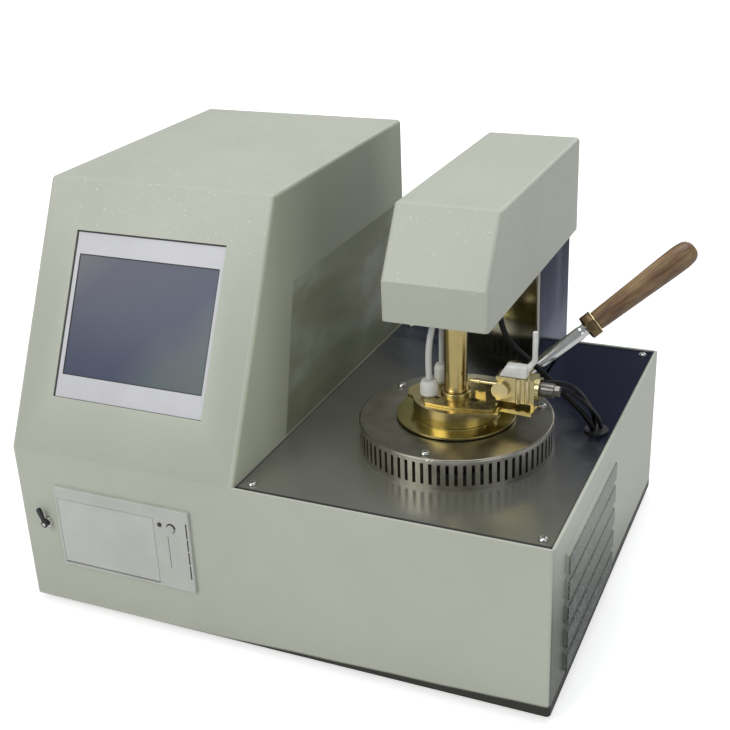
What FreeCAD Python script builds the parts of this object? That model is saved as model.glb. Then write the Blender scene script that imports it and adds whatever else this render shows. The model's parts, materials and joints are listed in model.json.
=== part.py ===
import FreeCAD, Part

import math
import os

import Sketcher
from FreeCAD import Placement, Rotation, Vector

# Flash point tester, closed cup kind, with a lifting head.
# Millimetres. +Z up, the front faces -Y, +X to the right.
# Origin: centre of the housing's footprint, on the plane of the feet.

doc = FreeCAD.newDocument("FlashPointTester")

# Driving dimensions, in millimetres
SIZES = {
    # Fits and small allowances
    "panel_gap": 0.3,
    "seat_gap": 0.3,
    "running_fit": 0.05,
    "overrun": 1.0,
    # Housing
    "housing_width": 400.0,
    "housing_depth": 312.0,
    "base_height": 124.0,
    "tower_width": 181.0,
    "tower_height": 301.0,
    "slope_run": 89.0,
    "sheet_wall": 2.0,
    "bend_radius": 3.0,
    "rim_rise": 1.0,
    "foot_height": 6.0,
    "deck_thickness": 2.0,
    "lip_width": 14.0,
    "rear_flange_width": 12.0,
    "pan_edge_height": 10.0,
    "foot_radius": 11.0,
    "foot_inset": 32.0,
    "foot_stud_radius": 3.0,
    "foot_stud_height": 5.0,
    # Louvres of the right side
    "louvre_length": 129.0,
    "louvre_front": 29.0,
    "louvre_rise": 3.2,
    "louvre_wall": 1.2,
    "louvre_mouth": 3.0,
    # Screen
    "screen_offset": 1.5,
    "screen_width": 121.5,
    "screen_height": 119.5,
    "screen_recess": 1.0,
    "screen_flange": 4.0,
    "screen_flange_wall": 2.0,
    "glass_side": 4.5,
    "glass_rise": 16.5,
    "glass_width": 114.0,
    "glass_height": 86.5,
    "glass_recess": 0.6,
    "glass_thickness": 2.0,
    "display_depth": 9.0,
    # Panel printer
    "printer_offset": 3.0,
    "printer_low": 34.5,
    "printer_width": 112.0,
    "printer_height": 65.3,
    "printer_rise": 2.5,
    "printer_tub_inset": 3.6,
    "printer_tub_depth": 46.0,
    "printer_wall": 2.0,
    "door_inset": 2.2,
    "door_width": 81.0,
    "door_height": 54.0,
    "door_low_gap": 0.8,
    "door_pin_radius": 0.9,
    "door_pin_length": 1.6,
    "door_ear_wall": 2.5,
    "door_ear_length": 13.0,
    "door_ear_height": 12.0,
    "platen_radius": 4.5,
    "platen_length": 60.0,
    "platen_shaft_radius": 2.0,
    "platen_drop": 7.0,
    "platen_back": 7.5,
    "paper_radius": 17.0,
    "paper_core_radius": 6.2,
    "paper_width": 57.0,
    "paper_rise": 22.0,
    "paper_back": 24.0,
    "spindle_reach": 4.0,
    "control_wall": 3.0,
    "button_right": 14.6,
    "button_drop": 14.8,
    "button_radius": 3.0,
    "button_rise": 1.6,
    "button_flange_radius": 4.2,
    "button_flange": 1.0,
    "lamp_right": 23.6,
    "lamp_drop": 13.3,
    "lamp_radius": 1.7,
    "lamp_rise": 0.7,
    # Front valve
    "valve_offset": 6.0,
    "valve_rise": 67.5,
    "valve_bush_radius": 3.6,
    "valve_bush_length": 3.0,
    "valve_nut_radius": 4.4,
    "valve_stem_radius": 1.4,
    "valve_stem_length": 3.2,
    "valve_body_size": 13.0,
    "valve_body_depth": 20.0,
    "lever_hub_radius": 2.7,
    "lever_thickness": 2.6,
    "lever_length": 13.0,
    "lever_neck": 0.95,
    "lever_end": 1.8,
    # Deck screws and other round-head screws
    "screw_head_radius": 3.2,
    "screw_head_height": 1.8,
    "screw_radius": 1.6,
    "screw_hole_radius": 1.75,
    "screw_length": 5.0,
    "deck_screw_inset": 10.0,
    "deck_screw_side": 9.0,
    "rear_screw_inset": 7.0,
    # Test station on the deck
    "guard_radius": 68.0,
    "guard_height": 22.2,
    "guard_wall": 1.5,
    "guard_bend": 1.4,
    "guard_hole_gap": 2.0,
    "guard_screw_inset": 7.0,
    "guard_post_radius": 3.6,
    "slot_width": 2.3,
    "slot_height": 15.3,
    "slot_drop": 3.6,
    "cup_radius": 27.8,
    "cup_wall": 2.4,
    "cup_depth": 56.0,
    "flange_reach": 13.7,
    "flange_thickness": 1.6,
    "flange_lift": 0.8,
    "cup_neck": 9.7,
    "cup_chamfer": 0.4,
    "bath_wall": 12.0,
    "bath_bore_gap": 2.2,
    "bath_floor": 30.0,
    "bath_below_cup": 6.0,
    "bath_collar_wall": 8.0,
    "bath_collar_height": 5.0,
    "bath_leg_radius": 4.0,
    "bath_leg_circle": 34.0,
    "bath_hole_gap": 4.0,
    "heater_wall": 3.2,
    "heater_low": 10.0,
    "heater_height": 40.0,
    "heater_lug": 9.0,
    "insulation_wall": 14.0,
    "insulation_low": 4.0,
    "insulation_height": 52.0,
    # Cup handle
    "lug_inner": 33.0,
    "lug_outer": 41.0,
    "lug_width": 9.0,
    "lug_height": 17.0,
    "lug_bore_radius": 2.6,
    "handle_start_radius": 36.0,
    "handle_start_rise": 11.5,
    "handle_rod_radius": 4.7,
    "handle_spigot_radius": 2.5,
    "handle_spigot_front": 2.5,
    "handle_shoulder": 10.5,
    "handle_rod_end": 69.5,
    "ferrule_radius": 9.0,
    "ferrule_length": 6.8,
    "ferrule_ring_radius": 9.6,
    "ferrule_ring_length": 1.2,
    "grip_length": 84.0,
    "grip_neck_radius": 6.9,
    "grip_radius": 9.1,
    # Cover, shutter and their tubes
    "cover_gap": 0.3,
    "cover_overhang": 2.0,
    "cover_thickness": 2.5,
    "skirt_wall": 1.4,
    "skirt_drop": 9.2,
    "cover_corner_x": 36.0,
    "cover_corner_y": 20.6,
    "cover_corner_back": 7.0,
    "cover_ear_x": 35.0,
    "cover_ear_y": 9.0,
    "arm_width": 13.0,
    "arm_reach": 58.0,
    "port_length": 6.5,
    "port_width": 5.0,
    "port_one_x": 17.3,
    "port_one_y": 1.0,
    "port_two_x": 4.2,
    "port_two_y": 14.2,
    "shutter_gap": 0.1,
    "shutter_thickness": 1.6,
    "shutter_hub_radius": 10.5,
    "shutter_hub_height": 2.8,
    "shutter_tip_x": 13.0,
    "shutter_tip_y": 17.5,
    "shutter_tip_radius": 4.0,
    "shutter_front_y": 22.6,
    "shutter_corner_x": 32.5,
    "shutter_corner_y": 18.6,
    "shutter_back_y": 8.5,
    "window_length": 8.0,
    "window_width": 6.0,
    "window_one_x": 11.7,
    "window_one_y": 4.4,
    "window_two_x": 9.5,
    "window_two_y": 11.5,
    "tab_x": 17.5,
    "tab_y": 2.6,
    "tab_length": 7.0,
    "tab_wall": 1.2,
    "tab_height": 3.6,
    "sleeve_radius": 8.0,
    "sleeve_bore_radius": 6.3,
    "tube_radius": 6.0,
    "tube_bore_radius": 2.6,
    "tube_drop": 4.6,
    "gear_module": 1.0,
    "gear_width": 6.0,
    "gear_clearance": 0.12,
    "pinion_shaft_radius": 1.5,
    # Stirrer
    "stirrer_shaft_radius": 2.0,
    "stirrer_drop": 46.0,
    "blade_reach": 9.0,
    "blade_wall": 1.2,
    "blade_height": 6.0,
    "upper_blade_rise": 26.0,
    "upper_blade_height": 4.0,
    "coupling_radius": 5.0,
    "coupling_length": 7.0,
    "motor_spigot_radius": 1.5,
    "motor_spigot_length": 9.0,
    # Probes, their plugs and leads
    "probe_radius": 1.6,
    "probe_drop": 43.0,
    "probe_one_x": 16.6,
    "probe_one_y": 8.2,
    "probe_two_x": 16.0,
    "probe_two_y": 14.4,
    "plug_one_radius": 6.4,
    "plug_one_height": 12.5,
    "plug_two_radius": 5.0,
    "plug_two_height": 15.0,
    "plug_foot": 2.5,
    "plug_bore_depth": 4.0,
    "lead_radius": 2.2,
    "thin_lead_radius": 1.7,
    # Igniter
    "block_left": 30.3,
    "block_right": 55.0,
    "block_front": 5.3,
    "block_back": 6.7,
    "block_lift": 2.9,
    "block_height": 18.0,
    "end_plate_wall": 2.0,
    "rib_radius": 1.7,
    "rib_one_x": 45.8,
    "rib_two_x": 52.0,
    "rear_knob_radius": 5.0,
    "rear_knob_height": 7.0,
    "rear_knob_x": 39.0,
    "side_disc_radius": 8.0,
    "side_disc_wall": 3.0,
    "barrel_x": 33.9,
    "barrel_rise": 8.7,
    "barrel_radius": 5.9,
    "barrel_head": 3.0,
    "barrel_shaft_radius": 2.0,
    "nozzle_rise": 4.6,
    "nozzle_radius": 1.3,
    "nozzle_reach": 14.0,
    "nozzle_tip_radius": 2.1,
    "nozzle_tip_length": 7.0,
    "nozzle_flare": 0.8,
    "insulator_depth": 8.0,
    "insulator_height": 8.5,
    "insulator_left": 32.0,
    "insulator_slant": 5.0,
    "insulator_right": 51.5,
    "post_x": 56.0,
    "post_radius": 2.4,
    "post_low": 13.0,
    "post_gap": 6.0,
    "fitting_radius": 5.0,
    "fitting_length": 9.5,
    "fitting_rise": 10.0,
    "fitting_nut_radius": 4.0,
    "fitting_nut_length": 3.5,
    # Lifting head
    "head_offset": 9.5,
    "head_width": 74.5,
    "head_overhang": 29.3,
    "head_clearance": 60.9,
    "head_break": 28.5,
    "head_height": 74.0,
    "head_slope_run": 29.0,
    "head_bottom_thickness": 2.0,
    "cable_side": 25.5,
    "cable_behind": 14.7,
    "frame_gap": 10.0,
    "frame_thickness": 4.0,
    "shutter_motor_radius": 12.0,
    "shutter_motor_height": 16.0,
    "bracket_width": 37.0,
    "bracket_depth": 32.0,
    "bracket_height": 14.0,
    "bracket_wall": 2.5,
    "stirrer_motor_radius": 10.0,
    # Column and lift
    "column_side_gap": 2.2,
    "column_back_gap": 5.0,
    "column_depth": 87.0,
    "column_wall": 1.5,
    "column_bend": 3.0,
    "column_foot_gap": 9.0,
    "column_slot_gap": 1.0,
    "carriage_rise": 54.0,
    "carriage_thickness": 8.0,
    "rod_radius": 5.0,
    "rod_margin": 1.0,
    "bushing_radius": 9.5,
    "bushing_length": 29.0,
    "screw_shaft_radius": 4.0,
    "screw_tail_radius": 2.5,
    "screw_tail_length": 9.0,
    "nut_radius": 5.1,
    "nut_flange_radius": 10.5,
    "nut_flange": 3.5,
    "nut_length": 16.0,
    "motor_width": 42.3,
    "motor_height": 34.0,
    "motor_corner": 4.0,
    "lift_base_thickness": 4.0,
    "lift_base_margin": 8.0,
    "mast_gap": 2.5,
    "bridge_thickness": 6.0,
    "mast_wall": 3.0,
    "mast_depth": 32.0,
    "mast_clearance": 1.0,
    # Leads to the deck
    "head_cable_radius": 2.0,
    "igniter_lead_radius": 1.5,
    "gland_radius": 8.5,
    "gland_flange": 1.6,
    "gland_height": 7.0,
    "gland_neck": 5.8,
    "gland_side": 13.5,
    "gland_behind": 48.2,
    "lead_end_rise": 2.4,
    # Rear wall pieces
    "fan_size": 80.0,
    "fan_depth": 25.0,
    "fan_across": 110.0,
    "fan_rise": 62.0,
    "fan_duct_radius": 37.5,
    "fan_hub_radius": 15.0,
    "fan_blade_radius": 36.0,
    "fan_blade_wall": 1.6,
    "fan_blade_depth": 18.0,
    "fan_bridge_wall": 3.0,
    "fan_pin_radius": 2.0,
    "grille_bar": 3.0,
    "grille_ring": 4.0,
    "inlet_across": 30.0,
    "inlet_rise": 45.0,
    "inlet_width": 27.5,
    "inlet_height": 20.0,
    "inlet_flange_width": 44.0,
    "inlet_flange_height": 30.0,
    "inlet_flange": 2.5,
    "inlet_depth": 22.0,
    "inlet_wall": 1.6,
    "inlet_pin_wall": 2.0,
    "inlet_pin_height": 4.0,
    "inlet_pin_length": 14.0,
    "inlet_pin_spread": 7.0,
    "inlet_earth_rise": 3.5,
    "gas_side": 28.0,
    "gas_rise": 40.0,
    "gas_barb_radius": 3.5,
    "gas_barb_tip_radius": 3.0,
    "gas_barb_length": 18.0,
    "gas_bore_radius": 1.8,
    "gas_nut_radius": 7.0,
    "gas_nut_length": 5.0,
    "gas_thread_radius": 4.8,
    "gas_thread_length": 10.0,
    # Boards inside the base
    "board_side": 36.5,
    "board_gap": 6.0,
    "board_width": 96.0,
    "board_length": 120.0,
    "board_wall": 1.6,
    "board_lift": 8.0,
    "board_post_radius": 3.5,
    "board_post_inset": 5.0,
    "chip_size": 14.0,
    "chip_height": 2.0,
    "capacitor_radius": 5.0,
    "capacitor_height": 12.0,
    "supply_left": 12.0,
    "supply_width": 98.0,
    "supply_back_gap": 46.0,
    "supply_length": 129.0,
    "supply_height": 38.0,
    "supply_vent": 3.0,
    "supply_edge": 12.0,
}

# Counts, turns and shares
GUARD_SLOTS = 75
GUARD_SCREWS = 3
LOUVRES = 5
BATH_LEGS = 3
FAN_BLADES = 7
GRILLE_RINGS = 4
FERRULE_SIDES = 8
NUT_SIDES = 6
GEAR_TEETH = 40
PINION_TEETH = 16
SUPPLY_VENTS = 9
ARM_TURN = -6.0
HANDLE_TURN = 35.5
HANDLE_TILT = 33.7
LEVER_TURN = 18.0
POST_TURN = 38.0
TOOTH_WIDTH_SHARES = (0.31, 0.225, 0.12)
CUP_SIDE_SHARE = 11 / 18
CUP_BACK_SHARE = 0.515
SCREEN_RISE_SHARE = 0.5275
LOUVRE_TOP_SHARE = 0.85484
LOUVRE_PITCH_SHARE = 0.1508
LOUVRE_HEIGHT_SHARE = 0.125
STIRRER_MOTOR_SHARE = 0.47
GRIP_LENGTH_SHARES = (0.3, 0.62, 0.84, 0.94, 0.985)
GRIP_RADIUS_SHARES = (0.85, 0.95, 1.0, 0.92, 0.66)

sheet = doc.addObject("Spreadsheet::Sheet", "Sizes")
for row, (alias, number) in enumerate(SIZES.items(), start=1):
    sheet.set(f"A{row}", alias)
    sheet.set(f"B{row}", str(number))
    sheet.setAlias(f"B{row}", alias)
doc.recompute()


class Length:
    """A length in mm that keeps the sheet cells it is made of."""

    def __init__(self, terms):
        self.terms = {alias: factor for alias, factor in terms.items() if abs(factor) > 1e-12}

    @property
    def mm(self):
        return sum(factor * SIZES[alias] for alias, factor in self.terms.items())

    @property
    def text(self):
        words = ""
        for alias, factor in self.terms.items():
            words += " - " if factor < 0 else " + "
            words += f"{abs(factor):.12g} * Sizes.{alias}"
        return "0" + words

    def __add__(self, other):
        terms = dict(self.terms)
        for alias, factor in other.terms.items():
            terms[alias] = terms.get(alias, 0.0) + factor
        return Length(terms)

    def __neg__(self):
        return self * -1.0

    def __sub__(self, other):
        return self + -other

    def __mul__(self, factor):
        return Length({alias: value * factor for alias, value in self.terms.items()})

    __rmul__ = __mul__

    def __truediv__(self, divisor):
        return self * (1.0 / divisor)


class Cells:
    """The sheet's cells as lengths, by name."""


s = Cells()
for alias in SIZES:
    setattr(s, alias, Length({alias: 1.0}))
ZERO = Length({})


# Helpers that build features whose sizes follow the sheet

def bind(thing, name, length):
    setattr(thing, name, length.mm)
    thing.setExpression(name, length.text)


def put(thing, x=ZERO, y=ZERO, z=ZERO, turn=None):
    """Places an object; its position follows the sheet."""
    thing.Placement = Placement(Vector(x.mm, y.mm, z.mm), turn or Rotation())
    for axis, length in zip("xyz", (x, y, z)):
        thing.setExpression(f"Placement.Base.{axis}", length.text)
    return thing


def box(label, x, y, z):
    """A block between two bounds on each axis."""
    made = doc.addObject("Part::Box", label)
    bind(made, "Length", x[1] - x[0])
    bind(made, "Width", y[1] - y[0])
    bind(made, "Height", z[1] - z[0])
    return put(made, x[0], y[0], z[0])


AXIS_TURNS = {
    "Z": Rotation(),
    "X": Rotation(Vector(0, 1, 0), 90),
    "Y": Rotation(Vector(1, 0, 0), -90),
    "-Y": Rotation(Vector(1, 0, 0), 90),
}


def cylinder(label, radius, length, x, y, z, axis="Z"):
    """A cylinder that starts at a point and runs along an axis."""
    made = doc.addObject("Part::Cylinder", label)
    bind(made, "Radius", radius)
    bind(made, "Height", length)
    return put(made, x, y, z, AXIS_TURNS[axis])


def prism(label, sides, radius, length, x, y, z, axis="Z"):
    """A regular prism, for nuts; radius is to its corners."""
    made = doc.addObject("Part::Prism", label)
    made.Polygon = sides
    bind(made, "Circumradius", radius)
    bind(made, "Height", length)
    return put(made, x, y, z, AXIS_TURNS[axis])


def fused(label, shapes):
    made = doc.addObject("Part::MultiFuse", label)
    made.Shapes = shapes
    made.Refine = True
    return made


def cut(label, base, tools):
    tool = tools[0] if len(tools) == 1 else fused(label + "_tools", tools)
    made = doc.addObject("Part::Cut", label)
    made.Base = base
    made.Tool = tool
    made.Refine = True
    return made


def grouped(label, members):
    """Several separate solids that share one node."""
    made = doc.addObject("Part::Compound", label)
    made.Links = members
    return made


def new_body(label):
    return doc.addObject("PartDesign::Body", label)


def sketch(body, name, plane="XY_Plane", offset=ZERO):
    """A sketch on one of the body's origin planes, moved along its normal."""
    made = body.newObject("Sketcher::SketchObject", name)
    support = [feature for feature in body.Origin.OriginFeatures if feature.Role == plane][0]
    made.AttachmentSupport = [(support, "")]
    made.MapMode = "FlatFace"
    made.AttachmentOffset = Placement(Vector(0, 0, offset.mm), Rotation())
    made.setExpression("AttachmentOffset.Base.z", offset.text)
    return made


def hold(drawn, geometry, point, across, up):
    """Holds a sketch point at its distances from the sketch's origin."""
    for kind, length, axis in (("DistanceX", across, -2), ("DistanceY", up, -1)):
        if not length.terms:
            drawn.addConstraint(Sketcher.Constraint("PointOnObject", geometry, point, axis))
            continue
        index = drawn.addConstraint(Sketcher.Constraint(kind, -1, 1, geometry, point, length.mm))
        drawn.setExpression(f"Constraints[{index}]", length.text)


def polygon(drawn, points):
    first = drawn.GeometryCount
    count = len(points)
    for index, (across, up) in enumerate(points):
        after = points[(index + 1) % count]
        ends = Vector(across.mm, up.mm, 0), Vector(after[0].mm, after[1].mm, 0)
        drawn.addGeometry(Part.LineSegment(*ends), False)
    for index in range(count):
        following = first + (index + 1) % count
        drawn.addConstraint(Sketcher.Constraint("Coincident", first + index, 2, following, 1))
    for index, (across, up) in enumerate(points):
        hold(drawn, first + index, 1, across, up)
    return drawn


def rectangle(drawn, across, up):
    corners = [(across[0], up[0]), (across[1], up[0]), (across[1], up[1]), (across[0], up[1])]
    return polygon(drawn, corners)


def circle(drawn, across, up, radius):
    shape = Part.Circle(Vector(across.mm, up.mm, 0), Vector(0, 0, 1), radius.mm)
    index = drawn.addGeometry(shape, False)
    hold(drawn, index, 3, across, up)
    size = drawn.addConstraint(Sketcher.Constraint("Radius", index, radius.mm))
    drawn.setExpression(f"Constraints[{size}]", radius.text)
    return drawn


def extrude(body, kind, drawn, length, reverse=False):
    made = body.newObject(kind, drawn.Name + "_" + kind.split("::")[1])
    made.Profile = drawn
    bind(made, "Length", length)
    made.Reversed = reverse
    body.Tip = made
    return made


def pad(body, drawn, length, reverse=False):
    return extrude(body, "PartDesign::Pad", drawn, length, reverse)


def pocket(body, drawn, length, reverse=False):
    """Cuts a pocket and makes sure that it takes material away."""
    doc.recompute()
    before = body.Tip.Shape.Volume
    made = extrude(body, "PartDesign::Pocket", drawn, length, reverse)
    doc.recompute()
    if not made.Shape.Volume < before:
        raise ValueError(drawn.Name + " cuts nothing")
    return made


def revolve(body, drawn):
    made = body.newObject("PartDesign::Revolution", drawn.Name + "_turn")
    made.Profile = drawn
    made.ReferenceAxis = (drawn, ["V_Axis"])
    made.Angle = 360.0
    body.Tip = made
    return made


def turned(label, profile, x=ZERO, y=ZERO, z=ZERO, turn=None):
    """A turned piece from its (radius, height) profile."""
    body = new_body(label)
    drawn = polygon(sketch(body, label + "_profile", "XZ_Plane"), profile)
    revolve(body, drawn)
    return put(body, x, y, z, turn)


def ring(label, outer, inner, low, high, x, y):
    return turned(label, [(inner, low), (outer, low), (outer, high), (inner, high)], x, y)


def middle(edge):
    return edge.valueAt((edge.FirstParameter + edge.LastParameter) / 2)


def along(edge, axis):
    """True for a straight edge that runs along an axis."""
    if edge.Curve.TypeId != "Part::GeomLine":
        return False
    return abs(edge.Curve.Direction.dot(axis)) > 1 - 1e-6


def near(value, length):
    return abs(value - length.mm) < 1e-4


def soften(body, radius, chosen, kind="Fillet"):
    """Rounds or chamfers the edges that the test picks."""
    doc.recompute()
    base = body.Tip
    names = [f"Edge{n}" for n, edge in enumerate(base.Shape.Edges, start=1) if chosen(edge)]
    made = body.newObject("PartDesign::" + kind, base.Name + "_" + kind)
    made.Base = (base, names)
    bind(made, "Radius" if kind == "Fillet" else "Size", radius)
    body.Tip = made
    return made


def round_pattern(body, feature, count):
    made = body.newObject("PartDesign::PolarPattern", feature.Name + "_round")
    made.Originals = [feature]
    axis = [part for part in body.Origin.OriginFeatures if part.Role == "Z_Axis"][0]
    made.Axis = (axis, [""])
    made.Angle = 360.0
    made.Occurrences = count
    body.Tip = made
    return made


def polar(reach, turn):
    """The two parts of a reach at a turn in degrees."""
    angle = math.radians(turn)
    return reach * math.cos(angle), reach * math.sin(angle)


X, Y, Z = Vector(1, 0, 0), Vector(0, 1, 0), Vector(0, 0, 1)

# Places that several pieces share

left = -s.housing_width / 2
right = s.housing_width / 2
front = -s.housing_depth / 2
back = s.housing_depth / 2
wall = s.sheet_wall
gap = s.panel_gap
floor = s.foot_height
pan_top = floor + wall
deck = floor + s.base_height
deck_under = deck - s.deck_thickness
lip_under = deck_under - wall
rim = deck + s.rim_rise
tower_right = left + s.tower_width
tower_top = floor + s.tower_height
slope_top = front + s.slope_run
lean = math.atan2(s.slope_run.mm, (tower_top - rim).mm)
slope_length = (tower_top - rim) / math.cos(lean)

column_back = back - s.column_back_gap
column_front = column_back - s.column_depth
deck_spare = right - wall - tower_right - s.guard_radius * 2
cup_x = tower_right + s.guard_radius + deck_spare * CUP_SIDE_SHARE
cup_y = front + (column_front - front) * CUP_BACK_SHARE
guard_top = deck + s.guard_height
flange_low = guard_top + s.flange_lift
flange_top = flange_low + s.flange_thickness
cup_rim = flange_top + s.cup_neck
cup_floor = cup_rim - s.cup_depth
cup_low = cup_floor - s.cup_wall
cover_low = cup_rim + s.cover_gap
cover_top = cover_low + s.cover_thickness
shutter_low = cover_top + s.shutter_gap
shutter_top = shutter_low + s.shutter_thickness
hub_top = shutter_top + s.shutter_hub_height
bath_bore = s.cup_radius + s.bath_bore_gap
bath_radius = bath_bore + s.bath_wall
bath_collar = bath_bore + s.bath_collar_wall
guard_hole = bath_collar + s.guard_hole_gap
flange_radius = s.cup_radius + s.flange_reach
cover_radius = s.cup_radius + s.cover_overhang

head_left = cup_x - (s.head_width + s.head_offset) / 2
head_right = head_left + s.head_width
head_front = cup_y - s.head_overhang
head_low = cover_top + s.head_clearance
head_top = head_low + s.head_height
bottom_top = head_low + s.head_bottom_thickness
frame_low = bottom_top + s.frame_gap
frame_top = frame_low + s.frame_thickness

column_left = head_left + wall + s.column_side_gap
column_right = head_right - wall - s.column_side_gap
lift_x = (column_left + column_right) / 2
lift_y = (column_front + column_back) / 2
lift_floor = pan_top + s.lift_base_thickness
motor_top = lift_floor + s.motor_height
mast_top = frame_low - s.column_wall - s.mast_gap
bridge_low = mast_top - s.bridge_thickness
rod_spread = s.column_depth / 2 - s.column_wall - s.bushing_radius - s.rod_margin
carriage_low = pan_top + s.carriage_rise
carriage_top = carriage_low + s.carriage_thickness

gear_low = bottom_top + (s.frame_gap - s.gear_width) / 2
gear_top = gear_low + s.gear_width
pinion_y = cup_y + s.gear_module * (GEAR_TEETH + PINION_TEETH) / 2


def screw_places():
    """Deck and rear screws, as (x, y) on the deck and (x, z) on the back."""
    side = tower_right + s.deck_screw_side
    far = right - s.deck_screw_inset
    near_row = front + s.deck_screw_inset + wall
    far_row = back - s.deck_screw_inset
    on_deck = [(side, near_row), (far, near_row), (far, far_row), (side, far_row)]
    inset = wall + s.rear_screw_inset
    low = floor + s.pan_edge_height + s.rear_screw_inset
    high = tower_top - inset
    waist = lip_under - s.rear_screw_inset
    on_back = [(left + inset, low), (left + inset, high), (tower_right - inset, high)]
    on_back += [(left + inset, waist), (right - inset, waist), (right - inset, low)]
    return on_deck, on_back


deck_screws, back_screws = screw_places()


# Housing

def inner_slope(inset):
    """Points of the tower's side outline, moved inwards by an inset."""
    low = rim - inset * math.tan(lean / 2)
    high = slope_top + inset * (1 / math.cos(lean) - math.tan(lean))
    return (front + inset, low), (high, tower_top - inset)


def back_outline(inset):
    """The rear opening's outline, as (x, z) points, drawn in by an inset."""
    seat = [(left + wall + inset, floor), (left + wall + inset, tower_top - wall - inset)]
    seat += [(tower_right - wall - inset, tower_top - wall - inset),
             (tower_right - wall - inset, lip_under - inset)]
    seat += [(tower_right + inset, lip_under - inset), (tower_right + inset, rim)]
    seat += [(right - wall - inset, rim), (right - wall - inset, floor)]
    return seat


def slope_rectangle(body, name, low, across, up):
    """A rectangle on the sloped face; low is how far behind the face it lies."""
    drawn = sketch(body, name)
    depth_y = low * math.cos(lean)
    depth_z = low * math.sin(lean)
    turn = Rotation(X, 90 - math.degrees(lean))
    drawn.AttachmentOffset = Placement(Vector(0, (front + depth_y).mm, (rim - depth_z).mm), turn)
    drawn.setExpression("AttachmentOffset.Base.z", (rim - depth_z).text)
    drawn.setExpression("AttachmentOffset.Base.y", (front + depth_y).text)
    return rectangle(drawn, across, up)


screen_left = left + (s.tower_width - s.screen_width - s.screen_offset) / 2
screen_low = (slope_length - s.screen_height) * SCREEN_RISE_SHARE
printer_left = (s.tower_width - s.printer_width - s.printer_offset) / 2
screen_x = (screen_left, screen_left + s.screen_width)
screen_up = (screen_low, screen_low + s.screen_height)
printer_x = (left + printer_left, left + printer_left + s.printer_width)
printer_z = (floor + s.printer_low, floor + s.printer_low + s.printer_height)
tub_x = (printer_x[0] + s.printer_tub_inset, printer_x[1] - s.printer_tub_inset)
tub_z = (printer_z[0] + s.printer_tub_inset, printer_z[1] - s.printer_tub_inset)
valve_x = left + printer_left / 2 + s.valve_offset
valve_z = floor + s.valve_rise


def grown(bounds, amount):
    return bounds[0] - amount, bounds[1] + amount


def make_housing_shell():
    body = new_body("housing_shell")
    over = s.overrun
    outline = [(front, floor), (front, rim), (slope_top, tower_top), (back, tower_top), (back, floor)]
    pad(body, polygon(sketch(body, "tower_side", "YZ_Plane", left), outline), s.tower_width)
    base = rectangle(sketch(body, "base_side", "YZ_Plane", left), (front, back), (floor, rim))
    pad(body, base, s.housing_width)

    def bends(edge):
        point = middle(edge)
        if along(edge, Z):
            return near(point.y, front) and point.z < rim.mm
        if along(edge, X):
            return near(point.z, tower_top) and near(point.y, slope_top)
        sloped = not along(edge, Y) and point.z > rim.mm and point.y < slope_top.mm
        topped = along(edge, Y) and near(point.z, tower_top)
        return sloped or topped

    soften(body, s.bend_radius, bends)

    low, high = inner_slope(wall)
    inside = [(front + wall, floor - over), low, high, (back + over, tower_top - wall),
              (back + over, floor - over)]
    drawn = polygon(sketch(body, "tower_hollow", "YZ_Plane", left + wall), inside)
    pocket(body, drawn, s.tower_width - wall * 2, reverse=True)
    hollow = sketch(body, "base_hollow", "YZ_Plane", left + wall)
    rectangle(hollow, (front + wall, back + over), (floor - over, lip_under))
    pocket(body, hollow, s.housing_width - wall * 2, reverse=True)
    opening = sketch(body, "deck_seat", "XY_Plane", rim + over)
    rectangle(opening, (tower_right, right - wall), (front + wall, back + over))
    pocket(body, opening, rim + over - deck_under)
    inner = sketch(body, "deck_opening", "XY_Plane", rim + over)
    rectangle(inner, (tower_right + s.lip_width, right - wall - s.lip_width),
              (front + wall + s.lip_width, back + over))
    pocket(body, inner, rim + over - lip_under + over)
    seat = back_outline(ZERO)
    seat[0] = (seat[0][0], floor - over)
    seat[-1] = (seat[-1][0], floor - over)
    seat[-2] = (seat[-2][0], rim + over)
    seat[-3] = (seat[-3][0], rim + over)
    drawn = polygon(sketch(body, "rear_seat", "XZ_Plane", -(back + over)), seat)
    pocket(body, drawn, wall + over, reverse=True)

    flange = sketch(body, "rear_flange", "XZ_Plane", -(back - wall))
    width = s.rear_flange_width
    outer_edge = [(left + wall, floor), (left + wall, tower_top - wall),
                  (tower_right - wall, tower_top - wall)]
    outer_edge += [(tower_right - wall, lip_under), (right - wall, lip_under), (right - wall, floor)]
    inner_edge = [(left + wall + width, floor), (left + wall + width, tower_top - wall - width)]
    inner_edge += [(tower_right - wall - width, tower_top - wall - width),
                   (tower_right - wall - width, lip_under - width)]
    inner_edge += [(right - wall - width, lip_under - width), (right - wall - width, floor)]
    polygon(flange, outer_edge + inner_edge[::-1])
    pad(body, flange, wall)

    window = slope_rectangle(body, "screen_window", -over, screen_x, screen_up)
    pocket(body, window, wall + over * 3)
    mouth = sketch(body, "printer_mouth", "XZ_Plane", -(front - over))
    rectangle(mouth, grown(tub_x, gap), grown(tub_z, gap))
    pocket(body, mouth, wall + over * 2)
    hole = sketch(body, "valve_hole", "XZ_Plane", -(front - over))
    circle(hole, valve_x, valve_z, s.valve_bush_radius + gap)
    pocket(body, hole, wall + over * 2)
    holes = sketch(body, "deck_screw_holes", "XY_Plane", deck_under + over)
    for x, y in deck_screws:
        circle(holes, x, y, s.screw_hole_radius)
    circle(holes, gland_x, gland_y, s.gland_neck + gap)
    pocket(body, holes, wall + over * 2)
    holes = sketch(body, "rear_screw_holes", "XZ_Plane", -(back + over))
    for x, z in back_screws:
        circle(holes, x, z, s.screw_hole_radius)
    pocket(body, holes, wall * 3 + over, reverse=True)
    add_louvres(body)
    return body


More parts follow.
